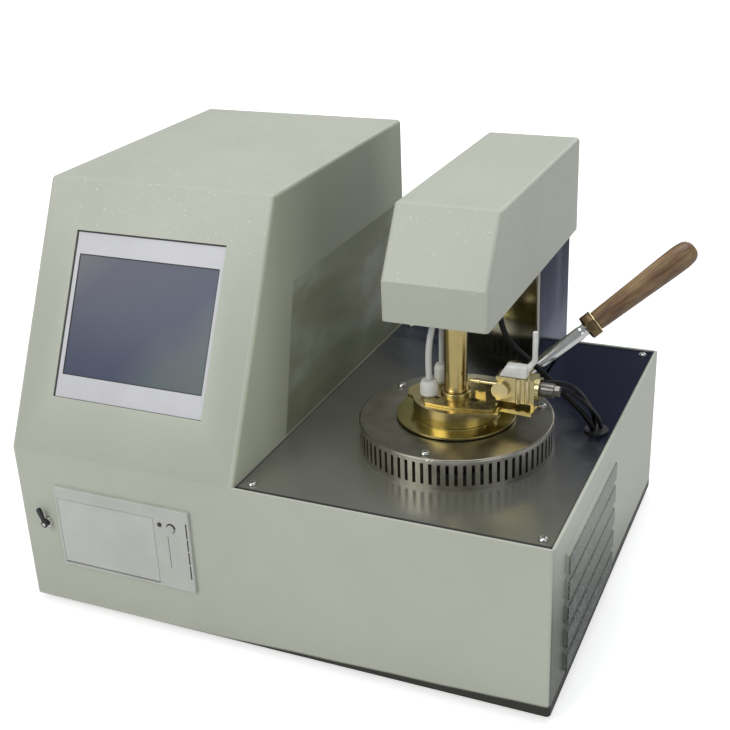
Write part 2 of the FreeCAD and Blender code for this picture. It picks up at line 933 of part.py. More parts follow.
def add_louvres(body):
    """Five pressed louvres, each a slot behind a hood that opens downwards."""
    over = s.overrun
    start = front + s.louvre_front
    end = start + s.louvre_length
    for number in range(LOUVRES):
        top = floor + s.base_height * (LOUVRE_TOP_SHARE - LOUVRE_PITCH_SHARE * number)
        low = top - s.base_height * LOUVRE_HEIGHT_SHARE
        mouth = sketch(body, f"louvre_slot_{number}", "YZ_Plane", right + over)
        rectangle(mouth, (start + s.louvre_wall, end - s.louvre_wall), (low, top - s.louvre_rise))
        pocket(body, mouth, wall + over * 2)
        rise = s.louvre_rise
        hood = [(right - wall, top), (right, top), (right + rise, top - rise), (right + rise, low)]
        hood += [(right + rise - s.louvre_wall, low), (right + rise - s.louvre_wall, top - rise)]
        hood += [(right, top - rise + s.louvre_wall), (right - wall, top - rise + s.louvre_wall)]
        drawn = polygon(sketch(body, f"louvre_hood_{number}", "XZ_Plane", -end), hood)
        pad(body, drawn, s.louvre_length)
        cheek = [(right - wall, top), (right, top), (right + rise, top - rise), (right + rise, low),
                 (right - wall, low)]
        for place, at in enumerate((end, start + s.louvre_wall)):
            side = polygon(sketch(body, f"louvre_end_{number}_{place}", "XZ_Plane", -at), cheek)
            pad(body, side, s.louvre_wall)


def make_base_pan():
    body = new_body("base_pan")
    inset = wall + gap
    across = (left + inset, right - inset)
    deep = (front + inset, back - wall * 2 - gap)
    pad(body, rectangle(sketch(body, "pan_outline", offset=floor), across, deep), s.pan_edge_height)
    tray = sketch(body, "pan_tray", offset=floor + s.pan_edge_height + s.overrun)
    rectangle(tray, grown(across, -wall), grown(deep, -wall))
    pocket(body, tray, s.pan_edge_height - wall + s.overrun)
    holes = sketch(body, "pan_foot_holes", offset=floor + wall + s.overrun)
    for x in (left + s.foot_inset, right - s.foot_inset):
        for y in (front + s.foot_inset, back - s.foot_inset):
            circle(holes, x, y, s.foot_stud_radius)
    pocket(body, holes, wall + s.overrun * 2)
    posts = sketch(body, "board_posts", offset=pan_top)
    for x in grown(board_x, -s.board_post_inset):
        for y in grown(board_y, -s.board_post_inset):
            circle(posts, x, y, s.board_post_radius)
    pad(body, posts, s.board_lift)
    return body


board_right = cup_x - s.board_side
board_back = column_front - s.lift_base_margin - s.board_gap
board_x = (board_right - s.board_width, board_right)
board_y = (board_back - s.board_length, board_back)


def make_feet():
    taper = s.foot_radius - wall
    profile = [(ZERO, ZERO), (taper, ZERO), (s.foot_radius, wall), (s.foot_radius, floor)]
    profile += [(s.foot_stud_radius, floor), (s.foot_stud_radius, floor + s.foot_stud_height)]
    profile += [(ZERO, floor + s.foot_stud_height)]
    feet = []
    for x in (left + s.foot_inset, right - s.foot_inset):
        for y in (front + s.foot_inset, back - s.foot_inset):
            feet.append(turned(f"foot_{len(feet)}", profile, x, y))
    return grouped("rubber_feet", feet)


def make_deck_plate():
    body = new_body("deck_plate")
    over = s.overrun
    across = (tower_right + gap, right - wall - gap)
    deep = (front + wall + gap, back - wall - gap)
    pad(body, rectangle(sketch(body, "deck_outline", offset=deck_under), across, deep), s.deck_thickness)
    slot = s.column_slot_gap
    notch = sketch(body, "column_notch", offset=deck + over)
    rectangle(notch, (column_left - slot, column_right + slot), (column_front - slot, deep[1] + over))
    pocket(body, notch, s.deck_thickness + over * 2)
    holes = sketch(body, "deck_holes", offset=deck + over)
    circle(holes, cup_x, cup_y, bath_radius + s.bath_hole_gap)
    circle(holes, gland_x, gland_y, s.gland_neck)
    for x, y in deck_screws:
        circle(holes, x, y, s.screw_hole_radius)
    pocket(body, holes, s.deck_thickness + over * 2)
    posts = sketch(body, "guard_posts", offset=deck)
    bores = sketch(body, "guard_post_bores", offset=guard_top)
    for x, y in guard_screws:
        circle(posts, x, y, s.guard_post_radius)
        circle(bores, x, y, s.screw_hole_radius)
    pad(body, posts, s.guard_height - s.guard_wall)
    pocket(body, bores, s.screw_length + s.overrun)
    return body


gland_x = right - s.gland_side
gland_y = cup_y + s.gland_behind
cable_x = cup_x + s.cable_side
cable_y = cup_y + s.cable_behind
guard_screws = []
for number in range(GUARD_SCREWS):
    ahead, aside = polar(s.guard_radius - s.guard_screw_inset, -90 + 360 * number / GUARD_SCREWS)
    guard_screws.append((cup_x + ahead, cup_y + aside))


def make_rear_panel():
    body = new_body("rear_panel")
    over = s.overrun
    drawn = polygon(sketch(body, "rear_outline", "XZ_Plane", -(back - wall)), back_outline(gap))
    pad(body, drawn, wall, reverse=True)
    # Fan grille: rings of openings between bars
    step = (s.fan_blade_radius - s.fan_hub_radius) / GRILLE_RINGS
    for number in range(GRILLE_RINGS):
        outer = s.fan_hub_radius + step * (number + 1)
        inner = outer - step + s.grille_bar
        drawn = sketch(body, f"grille_ring_{number}", "XZ_Plane", -(back + over))
        circle(drawn, fan_x, fan_z, outer)
        circle(drawn, fan_x, fan_z, inner)
        pocket(body, drawn, wall + over * 2, reverse=True)
    cross = sketch(body, "grille_upright", "XZ_Plane", -back)
    rectangle(cross, grown((fan_x, fan_x), s.grille_ring / 2), grown((fan_z, fan_z), s.fan_blade_radius))
    pad(body, cross, wall)
    cross = sketch(body, "grille_level", "XZ_Plane", -back)
    rectangle(cross, grown((fan_x, fan_x), s.fan_blade_radius), grown((fan_z, fan_z), s.grille_ring / 2))
    pad(body, cross, wall)
    drawn = sketch(body, "inlet_window", "XZ_Plane", -(back + over))
    rectangle(drawn, grown(inlet_x, gap), grown(inlet_z, gap))
    pocket(body, drawn, wall + over * 2, reverse=True)
    holes = sketch(body, "rear_holes", "XZ_Plane", -(back + over))
    circle(holes, gas_x, gas_z, s.gas_thread_radius + gap)
    for x, z in back_screws:
        circle(holes, x, z, s.screw_hole_radius)
    pocket(body, holes, wall + over * 2, reverse=True)
    return body


fan_x = left + s.fan_across
fan_z = floor + s.fan_rise
inlet_mid = left + s.inlet_across
inlet_x = (inlet_mid - s.inlet_width / 2, inlet_mid + s.inlet_width / 2)
inlet_z = (floor + s.inlet_rise - s.inlet_height / 2, floor + s.inlet_rise + s.inlet_height / 2)
gas_x = right - s.gas_side
gas_z = floor + s.gas_rise


def make_screws():
    """Round-head screws of the deck, the guard and the rear panel."""
    dome = s.screw_head_radius - s.screw_head_height / 2
    profile = [(ZERO, -s.screw_length), (s.screw_radius, -s.screw_length), (s.screw_radius, ZERO)]
    profile += [(s.screw_head_radius, ZERO), (s.screw_head_radius, s.screw_head_height / 3)]
    profile += [(dome, s.screw_head_height), (ZERO, s.screw_head_height)]
    screws = []
    for x, y in deck_screws:
        screws.append(turned(f"deck_screw_{len(screws)}", profile, x, y, deck))
    for x, y in guard_screws:
        screws.append(turned(f"guard_screw_{len(screws)}", profile, x, y, guard_top))
    for x, z in back_screws:
        screws.append(turned(f"rear_screw_{len(screws)}", profile, x, back, z, AXIS_TURNS["Y"]))
    return grouped("cover_screws", screws)


# Screen

def slope_body(label):
    """A body whose z axis is the sloped face's outward normal, with z = 0 on the face."""
    body = new_body(label)
    return put(body, ZERO, front, rim, Rotation(X, 90 - math.degrees(lean)))


glass_x = (screen_left + s.glass_side, screen_left + s.glass_side + s.glass_width)
glass_up = (screen_low + s.glass_rise, screen_low + s.glass_rise + s.glass_height)


def make_screen_bezel():
    body = slope_body("lcd_bezel")
    behind = -wall - s.seat_gap / 3
    face = sketch(body, "bezel_face", offset=behind)
    rectangle(face, grown(screen_x, -gap), grown(screen_up, -gap))
    pad(body, face, -s.screen_recess - behind)
    flange = sketch(body, "bezel_flange", offset=behind)
    rectangle(flange, grown(screen_x, s.screen_flange), grown(screen_up, s.screen_flange))
    pad(body, flange, s.screen_flange_wall, reverse=True)
    case = sketch(body, "display_case", offset=behind - s.screen_flange_wall)
    rectangle(case, screen_x, screen_up)
    pad(body, case, s.display_depth, reverse=True)
    seat = sketch(body, "glass_seat", offset=-s.screen_recess + s.overrun)
    rectangle(seat, glass_x, glass_up)
    pocket(body, seat, s.overrun + s.glass_recess + s.glass_thickness)
    return body


def make_glass():
    body = slope_body("lcd_glass")
    drawn = sketch(body, "glass_outline", offset=-s.screen_recess - s.glass_recess)
    rectangle(drawn, grown(glass_x, -gap / 3), grown(glass_up, -gap / 3))
    pad(body, drawn, s.glass_thickness, reverse=True)
    return body


# Panel printer

printer_face = front - s.printer_rise
door_x = (printer_x[0] + s.door_inset, printer_x[0] + s.door_inset + s.door_width)
door_z = (printer_z[0] + s.door_inset, printer_z[0] + s.door_inset + s.door_height)
door_wall = s.printer_rise - gap / 3
door_axis_y = printer_face + door_wall / 2
door_axis_z = door_z[0] + s.door_low_gap + door_wall / 2
paper_y = front + s.paper_back
paper_z = door_z[0] + s.paper_rise
paper_x = (door_x[0] + door_x[1] - s.paper_width) / 2
platen_y = front + s.platen_back
platen_z = door_z[1] - s.platen_drop
button_x = printer_x[1] - s.button_right
button_z = printer_z[1] - s.button_drop
lamp_x = printer_x[1] - s.lamp_right
lamp_z = printer_z[1] - s.lamp_drop


def make_printer_bezel():
    body = new_body("printer_bezel")
    over = s.overrun
    pad(body, rectangle(sketch(body, "printer_flange", "XZ_Plane", -front), printer_x, printer_z),
        s.printer_rise)

    def corners(edge):
        point = middle(edge)
        if along(edge, Y):
            return True
        return near(point.y, printer_face)

    soften(body, s.printer_rise / 3, corners)
    drawn = rectangle(sketch(body, "printer_tub", "XZ_Plane", -front), tub_x, tub_z)
    pad(body, drawn, s.printer_tub_depth, reverse=True)
    bay_x = (tub_x[0] + s.printer_wall, door_x[1] - s.printer_wall)
    bay_z = (tub_z[0] + s.printer_wall, door_z[1])
    bay = rectangle(sketch(body, "paper_bay", "XZ_Plane", -(front - gap)), bay_x, bay_z)
    pocket(body, bay, s.printer_tub_depth - s.printer_wall + gap)
    mouth = rectangle(sketch(body, "door_mouth", "XZ_Plane", -(printer_face - over)), door_x, door_z)
    pocket(body, mouth, s.printer_rise + over)
    hollow_x = (door_x[1] + s.printer_wall, tub_x[1] - s.printer_wall)
    hollow_z = grown(tub_z, -s.printer_wall)
    hollow = sketch(body, "control_hollow", "XZ_Plane", -(front + s.printer_tub_depth + over))
    rectangle(hollow, hollow_x, hollow_z)
    pocket(body, hollow, s.printer_tub_depth + over + s.printer_rise - s.control_wall, reverse=True)
    holes = sketch(body, "control_holes", "XZ_Plane", -(printer_face - over))
    circle(holes, button_x, button_z, s.button_radius + s.seat_gap)
    circle(holes, lamp_x, lamp_z, s.lamp_radius)
    pocket(body, holes, s.control_wall + over * 2)
    for at, name in ((door_x[0] - s.door_pin_length - gap, "left"), (door_x[1], "right")):
        bore = sketch(body, f"hinge_bore_{name}", "YZ_Plane", at)
        circle(bore, door_axis_y, door_axis_z, s.door_pin_radius + s.running_fit)
        pocket(body, bore, s.door_pin_length + gap, reverse=True)
    reach = paper_x - bay_x[0] + s.spindle_reach
    for at, reverse, name in ((bay_x[0], False, "left"), (bay_x[1], True, "right")):
        pin = circle(sketch(body, f"paper_pin_{name}", "YZ_Plane", at), paper_y, paper_z,
                     s.paper_core_radius - s.running_fit)
        pad(body, pin, reach, reverse)
    return body


def make_printer_door():
    body = new_body("printer_door")
    side = gap
    wide = grown(door_x, -side)
    tall = (door_z[0] + s.door_low_gap, door_z[1] - side)
    inner = printer_face + door_wall
    pad(body, rectangle(sketch(body, "door_outline", "XZ_Plane", -inner), wide, tall), door_wall)

    def foot_edge(edge):
        point = middle(edge)
        return along(edge, X) and near(point.z, tall[0])

    soften(body, door_wall * 0.49, foot_edge)
    ear_z = (platen_z - s.door_ear_height / 2, platen_z + s.platen_radius)
    half = s.platen_length / 2 + gap
    mid = (door_x[0] + door_x[1]) / 2
    for at, name in ((mid - half - s.door_ear_wall, "left"), (mid + half, "right")):
        ear = sketch(body, f"door_ear_{name}", "YZ_Plane", at)
        rectangle(ear, (inner, front + s.door_ear_length), ear_z)
        pad(body, ear, s.door_ear_wall)
        bore = sketch(body, f"platen_bore_{name}", "YZ_Plane", at - s.overrun)
        circle(bore, platen_y, platen_z, s.platen_shaft_radius + s.running_fit)
        pocket(body, bore, s.door_ear_wall + s.overrun * 2, reverse=True)
    for at, reverse, name in ((wide[0], True, "left"), (wide[1], False, "right")):
        pin = sketch(body, f"door_pin_{name}", "YZ_Plane", at)
        circle(pin, door_axis_y, door_axis_z, s.door_pin_radius)
        pad(body, pin, s.door_pin_length, reverse)
    return body


def make_platen():
    mid = (door_x[0] + door_x[1]) / 2
    half = s.platen_length / 2
    shaft = half + s.door_ear_wall
    roller = cylinder("platen_rubber", s.platen_radius, half * 2, mid - half, platen_y, platen_z, "X")
    axle = cylinder("platen_axle", s.platen_shaft_radius, shaft * 2, mid - shaft, platen_y, platen_z,
                    "X")
    return fused("platen_roller", [roller, axle])


def make_paper_roll():
    outer = cylinder("paper_outer", s.paper_radius, s.paper_width, paper_x, paper_y, paper_z, "X")
    start = paper_x - s.overrun
    core = cylinder("paper_core", s.paper_core_radius, s.paper_width + s.overrun * 2, start, paper_y,
                    paper_z, "X")
    return cut("paper_roll", outer, [core])


def make_feed_button():
    cap = s.button_rise + s.control_wall
    stem = cylinder("button_stem", s.button_radius, cap, button_x, printer_face + s.control_wall,
                    button_z, "-Y")
    behind = printer_face + s.control_wall
    flange = cylinder("button_flange", s.button_flange_radius, s.button_flange, button_x, behind,
                      button_z, "Y")
    return fused("feed_button", [stem, flange])


def make_status_lamp():
    reach = s.lamp_rise + s.control_wall
    return cylinder("status_led", s.lamp_radius, reach, lamp_x, printer_face + s.control_wall, lamp_z,
                    "-Y")


# Front valve

def make_valve_body():
    inner = front + wall
    case = box("valve_case", grown((valve_x, valve_x), s.valve_body_size / 2),
               (inner, inner + s.valve_body_depth),
               grown((valve_z, valve_z), s.valve_body_size / 2))
    bush_reach = wall + s.valve_bush_length
    bush = cylinder("valve_bush", s.valve_bush_radius, bush_reach, valve_x, inner, valve_z, "-Y")
    nut = prism("valve_nut", NUT_SIDES, s.valve_nut_radius, s.valve_bush_length * 0.6, valve_x, front,
                valve_z, "-Y")
    reach = bush_reach + s.valve_stem_length
    stem = cylinder("valve_stem", s.valve_stem_radius, reach, valve_x, inner, valve_z, "-Y")
    return fused("gas_valve_body", [case, bush, nut, stem])


def make_valve_lever():
    body = new_body("gas_valve_lever")
    drawn = sketch(body, "lever_outline", "XZ_Plane")
    hub, neck, end, reach = s.lever_hub_radius, s.lever_neck, s.lever_end, s.lever_length
    outline = [(-neck, hub * 0.6), (-end, reach - end), (-end * 0.6, reach), (end * 0.6, reach)]
    outline += [(end, reach - end), (neck, hub * 0.6)]
    pad(body, polygon(drawn, outline), s.lever_thickness)
    pad(body, circle(sketch(body, "lever_hub", "XZ_Plane"), ZERO, ZERO, hub), s.lever_thickness)
    bore = circle(sketch(body, "lever_bore", "XZ_Plane", -s.overrun), ZERO, ZERO,
                  s.valve_stem_radius + s.running_fit)
    pocket(body, bore, s.lever_thickness + s.overrun * 2, reverse=True)
    at_y = front - s.valve_bush_length - gap
    return put(body, valve_x, at_y, valve_z, Rotation(Y, -LEVER_TURN))


# Test station

def make_guard_ring():
    body = new_body("guard_ring")
    top, low, thick = guard_top, deck, s.guard_wall
    profile = [(s.guard_radius, low), (s.guard_radius, top), (guard_hole, top)]
    profile += [(guard_hole, top - thick), (s.guard_radius - thick, top - thick)]
    profile += [(s.guard_radius - thick, low)]
    revolve(body, polygon(sketch(body, "guard_profile", "XZ_Plane"), profile))

    def brow(edge):
        return near(middle(edge).z, top) and near(edge.Curve.Radius, s.guard_radius)

    soften(body, s.guard_bend, lambda edge: edge.Curve.TypeId == "Part::GeomCircle" and brow(edge))
    holes = sketch(body, "guard_screw_holes", offset=top + s.overrun)
    for x, y in guard_screws:
        circle(holes, x - cup_x, y - cup_y, s.screw_hole_radius)
    pocket(body, holes, thick + s.overrun * 2)
    slot = sketch(body, "guard_slot", "XZ_Plane", s.guard_radius + s.overrun)
    high = top - s.slot_drop
    rectangle(slot, grown((ZERO, ZERO), s.slot_width / 2), (high - s.slot_height, high))
    made = pocket(body, slot, thick + s.overrun * 2)
    round_pattern(body, made, GUARD_SLOTS)
    return put(body, cup_x, cup_y)


bath_low = cup_low - s.bath_below_cup - s.bath_floor


def make_heating_bath():
    body = new_body("heating_bath")
    collar = flange_low
    shoulder = collar - s.bath_collar_height
    profile = [(ZERO, bath_low), (bath_radius, bath_low), (bath_radius, shoulder),
               (bath_collar, shoulder)]
    profile += [(bath_collar, collar), (bath_bore, collar)]
    profile += [(bath_bore, bath_low + s.bath_floor), (ZERO, bath_low + s.bath_floor)]
    revolve(body, polygon(sketch(body, "bath_profile", "XZ_Plane"), profile))
    leg = circle(sketch(body, "bath_leg", offset=pan_top), s.bath_leg_circle, ZERO, s.bath_leg_radius)
    made = pad(body, leg, bath_low - pan_top)
    round_pattern(body, made, BATH_LEGS)
    return put(body, cup_x, cup_y)


def make_heater():
    inner = bath_radius + gap
    outer = inner + s.heater_wall
    low = bath_low + s.heater_low
    high = low + s.heater_height
    body = ring("heater_band", outer, inner, low, high, cup_x, cup_y)
    lug = sketch(body, "heater_lug", offset=low)
    rectangle(lug, (outer - s.heater_wall / 2, outer + s.heater_lug),
              grown((ZERO, ZERO), s.heater_lug / 2))
    pad(body, lug, s.heater_lug)
    return body


def make_insulation():
    inner = bath_radius + gap * 2 + s.heater_wall
    low = bath_low + s.insulation_low
    body = ring("bath_insulation", inner + s.insulation_wall, inner, low, low + s.insulation_height,
                cup_x, cup_y)
    notch = sketch(body, "insulation_notch", offset=low - s.overrun)
    wide = s.heater_lug / 2 + gap
    rectangle(notch, (inner - s.overrun, inner + s.insulation_wall + s.overrun),
              grown((ZERO, ZERO), wide))
    pocket(body, notch, s.heater_low - s.insulation_low + s.heater_lug + gap + s.overrun, reverse=True)
    return body


def handle_point(reach):
    """A point on the handle's axis, seen from the cup's axis at deck height zero."""
    flat = reach * math.cos(math.radians(HANDLE_TILT))
    ahead, aside = polar(s.handle_start_radius + flat, HANDLE_TURN)
    rise = flange_top + s.handle_start_rise + reach * math.sin(math.radians(HANDLE_TILT))
    return ahead, aside, rise


HANDLE_AXIS = Rotation(Z, HANDLE_TURN).multiply(Rotation(Y, 90 - HANDLE_TILT))


def make_test_cup():
    body = new_body("test_cup")
    inner = s.cup_radius - s.cup_wall
    profile = [(ZERO, cup_low), (s.cup_radius, cup_low), (s.cup_radius, flange_low),
               (flange_radius, flange_low)]
    profile += [(flange_radius, flange_top), (s.cup_radius, flange_top), (s.cup_radius, cup_rim)]
    profile += [(inner, cup_rim), (inner, cup_floor), (ZERO, cup_floor)]
    revolve(body, polygon(sketch(body, "cup_profile", "XZ_Plane"), profile))

    def rounds(edge):
        if edge.Curve.TypeId != "Part::GeomCircle":
            return False
        return near(edge.Curve.Radius, flange_radius) or near(middle(edge).z, cup_low)

    soften(body, s.cup_chamfer, rounds, "Chamfer")
    cup = put(body, cup_x, cup_y)
    lug = box("lug_block", (ZERO, s.lug_outer - s.lug_inner), (ZERO, s.lug_width), (ZERO, s.lug_height))
    ahead, aside = polar(s.lug_inner, HANDLE_TURN)
    half_x, half_y = polar(s.lug_width / 2, HANDLE_TURN - 90)
    put(lug, cup_x + ahead + half_x, cup_y + aside + half_y, flange_top, Rotation(Z, HANDLE_TURN))
    whole = fused("cup_with_lug", [cup, lug])
    start = handle_point(-s.lug_height)
    bore = doc.addObject("Part::Cylinder", "lug_bore")
    bind(bore, "Radius", s.lug_bore_radius)
    bind(bore, "Height", s.lug_height * 2)
    put(bore, cup_x + start[0], cup_y + start[1], start[2], HANDLE_AXIS)
    return cut("test_cup_body", whole, [bore])


def on_handle(label, profile, reach):
    ahead, aside, rise = handle_point(reach)
    return turned(label, profile, cup_x + ahead, cup_y + aside, rise, HANDLE_AXIS)


def make_handle_rod():
    spigot, thick = s.handle_spigot_radius, s.handle_rod_radius
    profile = [(ZERO, -s.handle_spigot_front), (spigot, -s.handle_spigot_front),
               (spigot, s.handle_shoulder)]
    profile += [(thick, s.handle_shoulder), (thick, s.handle_rod_end), (ZERO, s.handle_rod_end)]
    return on_handle("handle_rod", profile, ZERO)


def make_ferrule():
    ahead, aside, rise = handle_point(s.handle_rod_end)
    collar = prism("ferrule_collar", FERRULE_SIDES, s.ferrule_radius, s.ferrule_length, ZERO, ZERO, ZERO)
    put(collar, cup_x + ahead, cup_y + aside, rise, HANDLE_AXIS)
    band = s.ferrule_ring_radius
    profile = [(ZERO, ZERO), (band, ZERO), (band, s.ferrule_ring_length), (ZERO, s.ferrule_ring_length)]
    washer = on_handle("ferrule_ring", profile, s.handle_rod_end + s.ferrule_length)
    return grouped("handle_ferrule", [collar, washer])


def make_grip():
    profile = [(ZERO, ZERO), (s.grip_neck_radius, ZERO)]
    for length_share, radius_share in zip(GRIP_LENGTH_SHARES, GRIP_RADIUS_SHARES):
        profile.append((s.grip_radius * radius_share, s.grip_length * length_share))
    profile.append((ZERO, s.grip_length))
    start = s.handle_rod_end + s.ferrule_length + s.ferrule_ring_length
    return on_handle("handle_grip", profile, start)


# Cover, shutter and igniter. Their bodies stand on the cup's axis.

def make_cover():
    body = new_body("cover")
    inner = cover_radius - s.skirt_wall
    outer = cover_radius
    foot = cover_low - s.tube_drop
    skirt = cover_low - s.skirt_drop
    bore = s.tube_bore_radius
    profile = [(bore, foot), (s.tube_radius, foot), (s.tube_radius, cover_low), (inner, cover_low),
               (inner, skirt)]
    profile += [(outer, skirt), (outer, cover_top)]
    profile += [(s.tube_radius, cover_top), (s.tube_radius, frame_top), (bore, frame_top)]
    revolve(body, polygon(sketch(body, "cover_profile", "XZ_Plane"), profile))
    corner = sketch(body, "cover_corner", offset=cover_low)
    lead_x, lead_y = polar(cover_radius, -68)
    back_x, back_y = polar(cover_radius - s.overrun, 8)
    mid_x, mid_y = polar(s.tube_radius + s.cover_thickness * 2, -45)
    outline = [(mid_x, mid_y), (lead_x, lead_y), (s.cover_corner_x, -s.cover_corner_y)]
    outline += [(s.cover_corner_x - s.cover_thickness, -s.cover_corner_back), (back_x, back_y)]
    pad(body, polygon(corner, outline), s.cover_thickness)
    ear = sketch(body, "cover_ear", offset=cover_low)
    inside = cover_radius - s.cover_thickness * 4
    outline = [(-inside, -s.cover_ear_y * 1.6), (-s.cover_ear_x + s.cover_thickness, -s.cover_ear_y)]
    outline += [(-s.cover_ear_x, ZERO), (-s.cover_ear_x + s.cover_thickness, s.cover_ear_y)]
    outline += [(-inside, s.cover_ear_y * 1.6)]
    pad(body, polygon(ear, outline), s.cover_thickness)
    arm = sketch(body, "cover_arm", offset=cover_low)
    outline = []
    for reach, aside in ((cover_radius - s.cover_thickness * 2, -1), (s.arm_reach, -1), (s.arm_reach, 1),
                         (cover_radius - s.cover_thickness * 2, 1)):
        ahead_x, ahead_y = polar(reach, ARM_TURN)
        side_x, side_y = polar(s.arm_width / 2 * aside, ARM_TURN + 90)
        outline.append((ahead_x + side_x, ahead_y + side_y))
    pad(body, polygon(arm, outline), s.cover_thickness)
    ports = sketch(body, "cover_ports", offset=cover_top + s.overrun)
    half_long, half_wide = s.port_length / 2, s.port_width / 2
    for x, y in ((s.port_one_x, -s.port_one_y), (-s.port_two_x, -s.port_two_y)):
        rectangle(ports, (x - half_long, x + half_long), (y - half_wide, y + half_wide))
    circle(ports, -s.probe_one_x, -s.probe_one_y, s.probe_radius + gap / 3)
    circle(ports, -s.probe_two_x, s.probe_two_y, s.probe_radius + gap / 3)
    pocket(body, ports, s.cover_thickness + s.overrun * 2)
    return put(body, cup_x, cup_y)


def make_shutter():
    body = new_body("shutter")
    plate = sketch(body, "shutter_plate", offset=shutter_low)
    tip_x, tip_y, tip = -s.shutter_tip_x, -s.shutter_tip_y, s.shutter_tip_radius
    outline = [(-s.shutter_hub_radius / 2, -s.shutter_hub_radius * 0.62)]
    outline += [(tip_x - tip, tip_y + tip / 4), (tip_x - tip, tip_y - tip / 4)]
    outline += [(tip_x - tip / 2, tip_y - tip), (-tip, -s.shutter_front_y),
                (s.shutter_hub_radius, -s.shutter_front_y)]
    outline += [(s.shutter_corner_x, -s.shutter_corner_y), (s.shutter_corner_x, -s.shutter_back_y)]
    outline += [(s.tab_x + s.tab_length, s.tab_y), (s.shutter_hub_radius / 2, s.shutter_hub_radius / 2)]
    pad(body, polygon(plate, outline), s.shutter_thickness)
    hub = circle(sketch(body, "shutter_hub", offset=shutter_low), ZERO, ZERO, s.shutter_hub_radius)
    pad(body, hub, s.shutter_thickness + s.shutter_hub_height)

    def shoulder(edge):
        return edge.Curve.TypeId == "Part::GeomCircle" and near(middle(edge).z, hub_top)

    soften(body, s.shutter_hub_height / 2, shoulder)
    tab = sketch(body, "shutter_tab", offset=shutter_top - s.shutter_thickness / 2)
    rectangle(tab, (s.tab_x - s.tab_length / 2, s.tab_x + s.tab_length / 2),
              (s.tab_y - s.tab_wall * 2, s.tab_y - s.tab_wall))
    pad(body, tab, s.tab_height + s.shutter_thickness / 2)
    holes = sketch(body, "shutter_windows", offset=hub_top + s.overrun)
    half_long, half_wide = s.window_length / 2, s.window_width / 2
    x, y = s.window_one_x + half_long, -s.window_one_y - half_wide
    polygon(holes, [(x - half_long, y), (x, y - half_wide), (x + half_long, y), (x, y + half_wide)])
    x, y = -s.window_two_x, -s.window_two_y
    polygon(holes,
            [(x - half_wide, y), (x, y - half_wide / 2), (x + half_wide, y), (x, y + half_wide / 2)])
    circle(holes, ZERO, ZERO, s.sleeve_bore_radius)
    pocket(body, holes, hub_top - shutter_low + s.overrun * 2)
    return put(body, cup_x, cup_y)


def make_sleeve():
    return ring("shutter_sleeve", s.sleeve_radius, s.sleeve_bore_radius, hub_top, gear_top, cup_x, cup_y)


def gear_shape(teeth, bore, backlash, start):
    """A straight-flanked spur gear blank with clearance at every flank."""
    module = s.gear_module.mm
    pitch = module * teeth / 2
    stations = (pitch - 1.25 * module, pitch, pitch + module)
    step = 2 * math.pi / teeth
    points = []
    for number in range(teeth):
        turn = start + number * step
        flank = []
        for radius, share in zip(stations, TOOTH_WIDTH_SHARES):
            flank.append((radius, share * step - backlash / radius))
        for radius, half in flank:
            points.append(Vector(radius * math.cos(turn - half), radius * math.sin(turn - half), 0))
        for radius, half in flank[::-1]:
            points.append(Vector(radius * math.cos(turn + half), radius * math.sin(turn + half), 0))
    face = Part.Face(Part.makePolygon(points + points[:1]))
    solid = face.extrude(Vector(0, 0, s.gear_width.mm))
    if bore is None:
        return solid
    return solid.cut(Part.makeCylinder(bore.mm, s.gear_width.mm))


def made_shape(label, shape, x=ZERO, y=ZERO, z=ZERO):
    """A feature whose shape is worked out from the sheet's sizes."""
    made = doc.addObject("Part::Feature", label)
    made.Shape = shape
    return put(made, x, y, z)


def make_drive_gear():
    shape = gear_shape(GEAR_TEETH, s.sleeve_radius, s.gear_clearance.mm, math.pi / 2)
    return made_shape("drive_gear", shape, cup_x, cup_y, gear_low)


def make_pinion():
    space = math.pi / PINION_TEETH
    shape = gear_shape(PINION_TEETH, None, s.gear_clearance.mm, -math.pi / 2 + space)
    teeth = made_shape("pinion_teeth", shape, cup_x, pinion_y, gear_low)
    reach = frame_top - gear_top + s.motor_spigot_length
    shaft = cylinder("pinion_shaft", s.pinion_shaft_radius, reach, cup_x, pinion_y, gear_top)
    return fused("drive_pinion", [teeth, shaft])


def make_shutter_motor():
    can = cylinder("shutter_can", s.shutter_motor_radius, s.shutter_motor_height, cup_x, pinion_y,
                   frame_top)
    bore = cylinder("shutter_can_bore", s.pinion_shaft_radius + s.running_fit,
                    s.motor_spigot_length + s.overrun * 2,
                    cup_x, pinion_y, frame_top - s.overrun)
    return cut("shutter_motor", can, [bore])


stirrer_low = cover_low - s.stirrer_drop
coupling_low = frame_top + s.seat_gap * 10
coupling_top = coupling_low + s.coupling_length
bracket_top = frame_top + s.bracket_height


def make_stirrer():
    shaft = cylinder("stirrer_shaft", s.stirrer_shaft_radius, coupling_low - stirrer_low, cup_x,
                     cup_y, stirrer_low)
    pieces = [shaft]
    reach, thin = s.blade_reach, s.blade_wall / 2
    for low, tall in ((stirrer_low, s.blade_height),
                      (stirrer_low + s.upper_blade_rise, s.upper_blade_height)):
        bounds = (low, low + tall)
        name = f"blade_{len(pieces)}"
        pieces.append(box(name + "_x", grown((cup_x, cup_x), reach), grown((cup_y, cup_y), thin),
                          bounds))
        pieces.append(box(name + "_y", grown((cup_x, cup_x), thin), grown((cup_y, cup_y), reach),
                          bounds))
    paddle = fused("stirrer_paddle", pieces)
    hub = cylinder("coupling_hub", s.coupling_radius, s.coupling_length, cup_x, cup_y, coupling_low)
    spigot = cylinder("coupling_spigot", s.motor_spigot_radius,
                      bracket_top - coupling_top + s.motor_spigot_length,
                      cup_x, cup_y, coupling_top)
    coupling = fused("stirrer_coupling", [hub, spigot])
    return grouped("stirrer", [paddle, coupling])


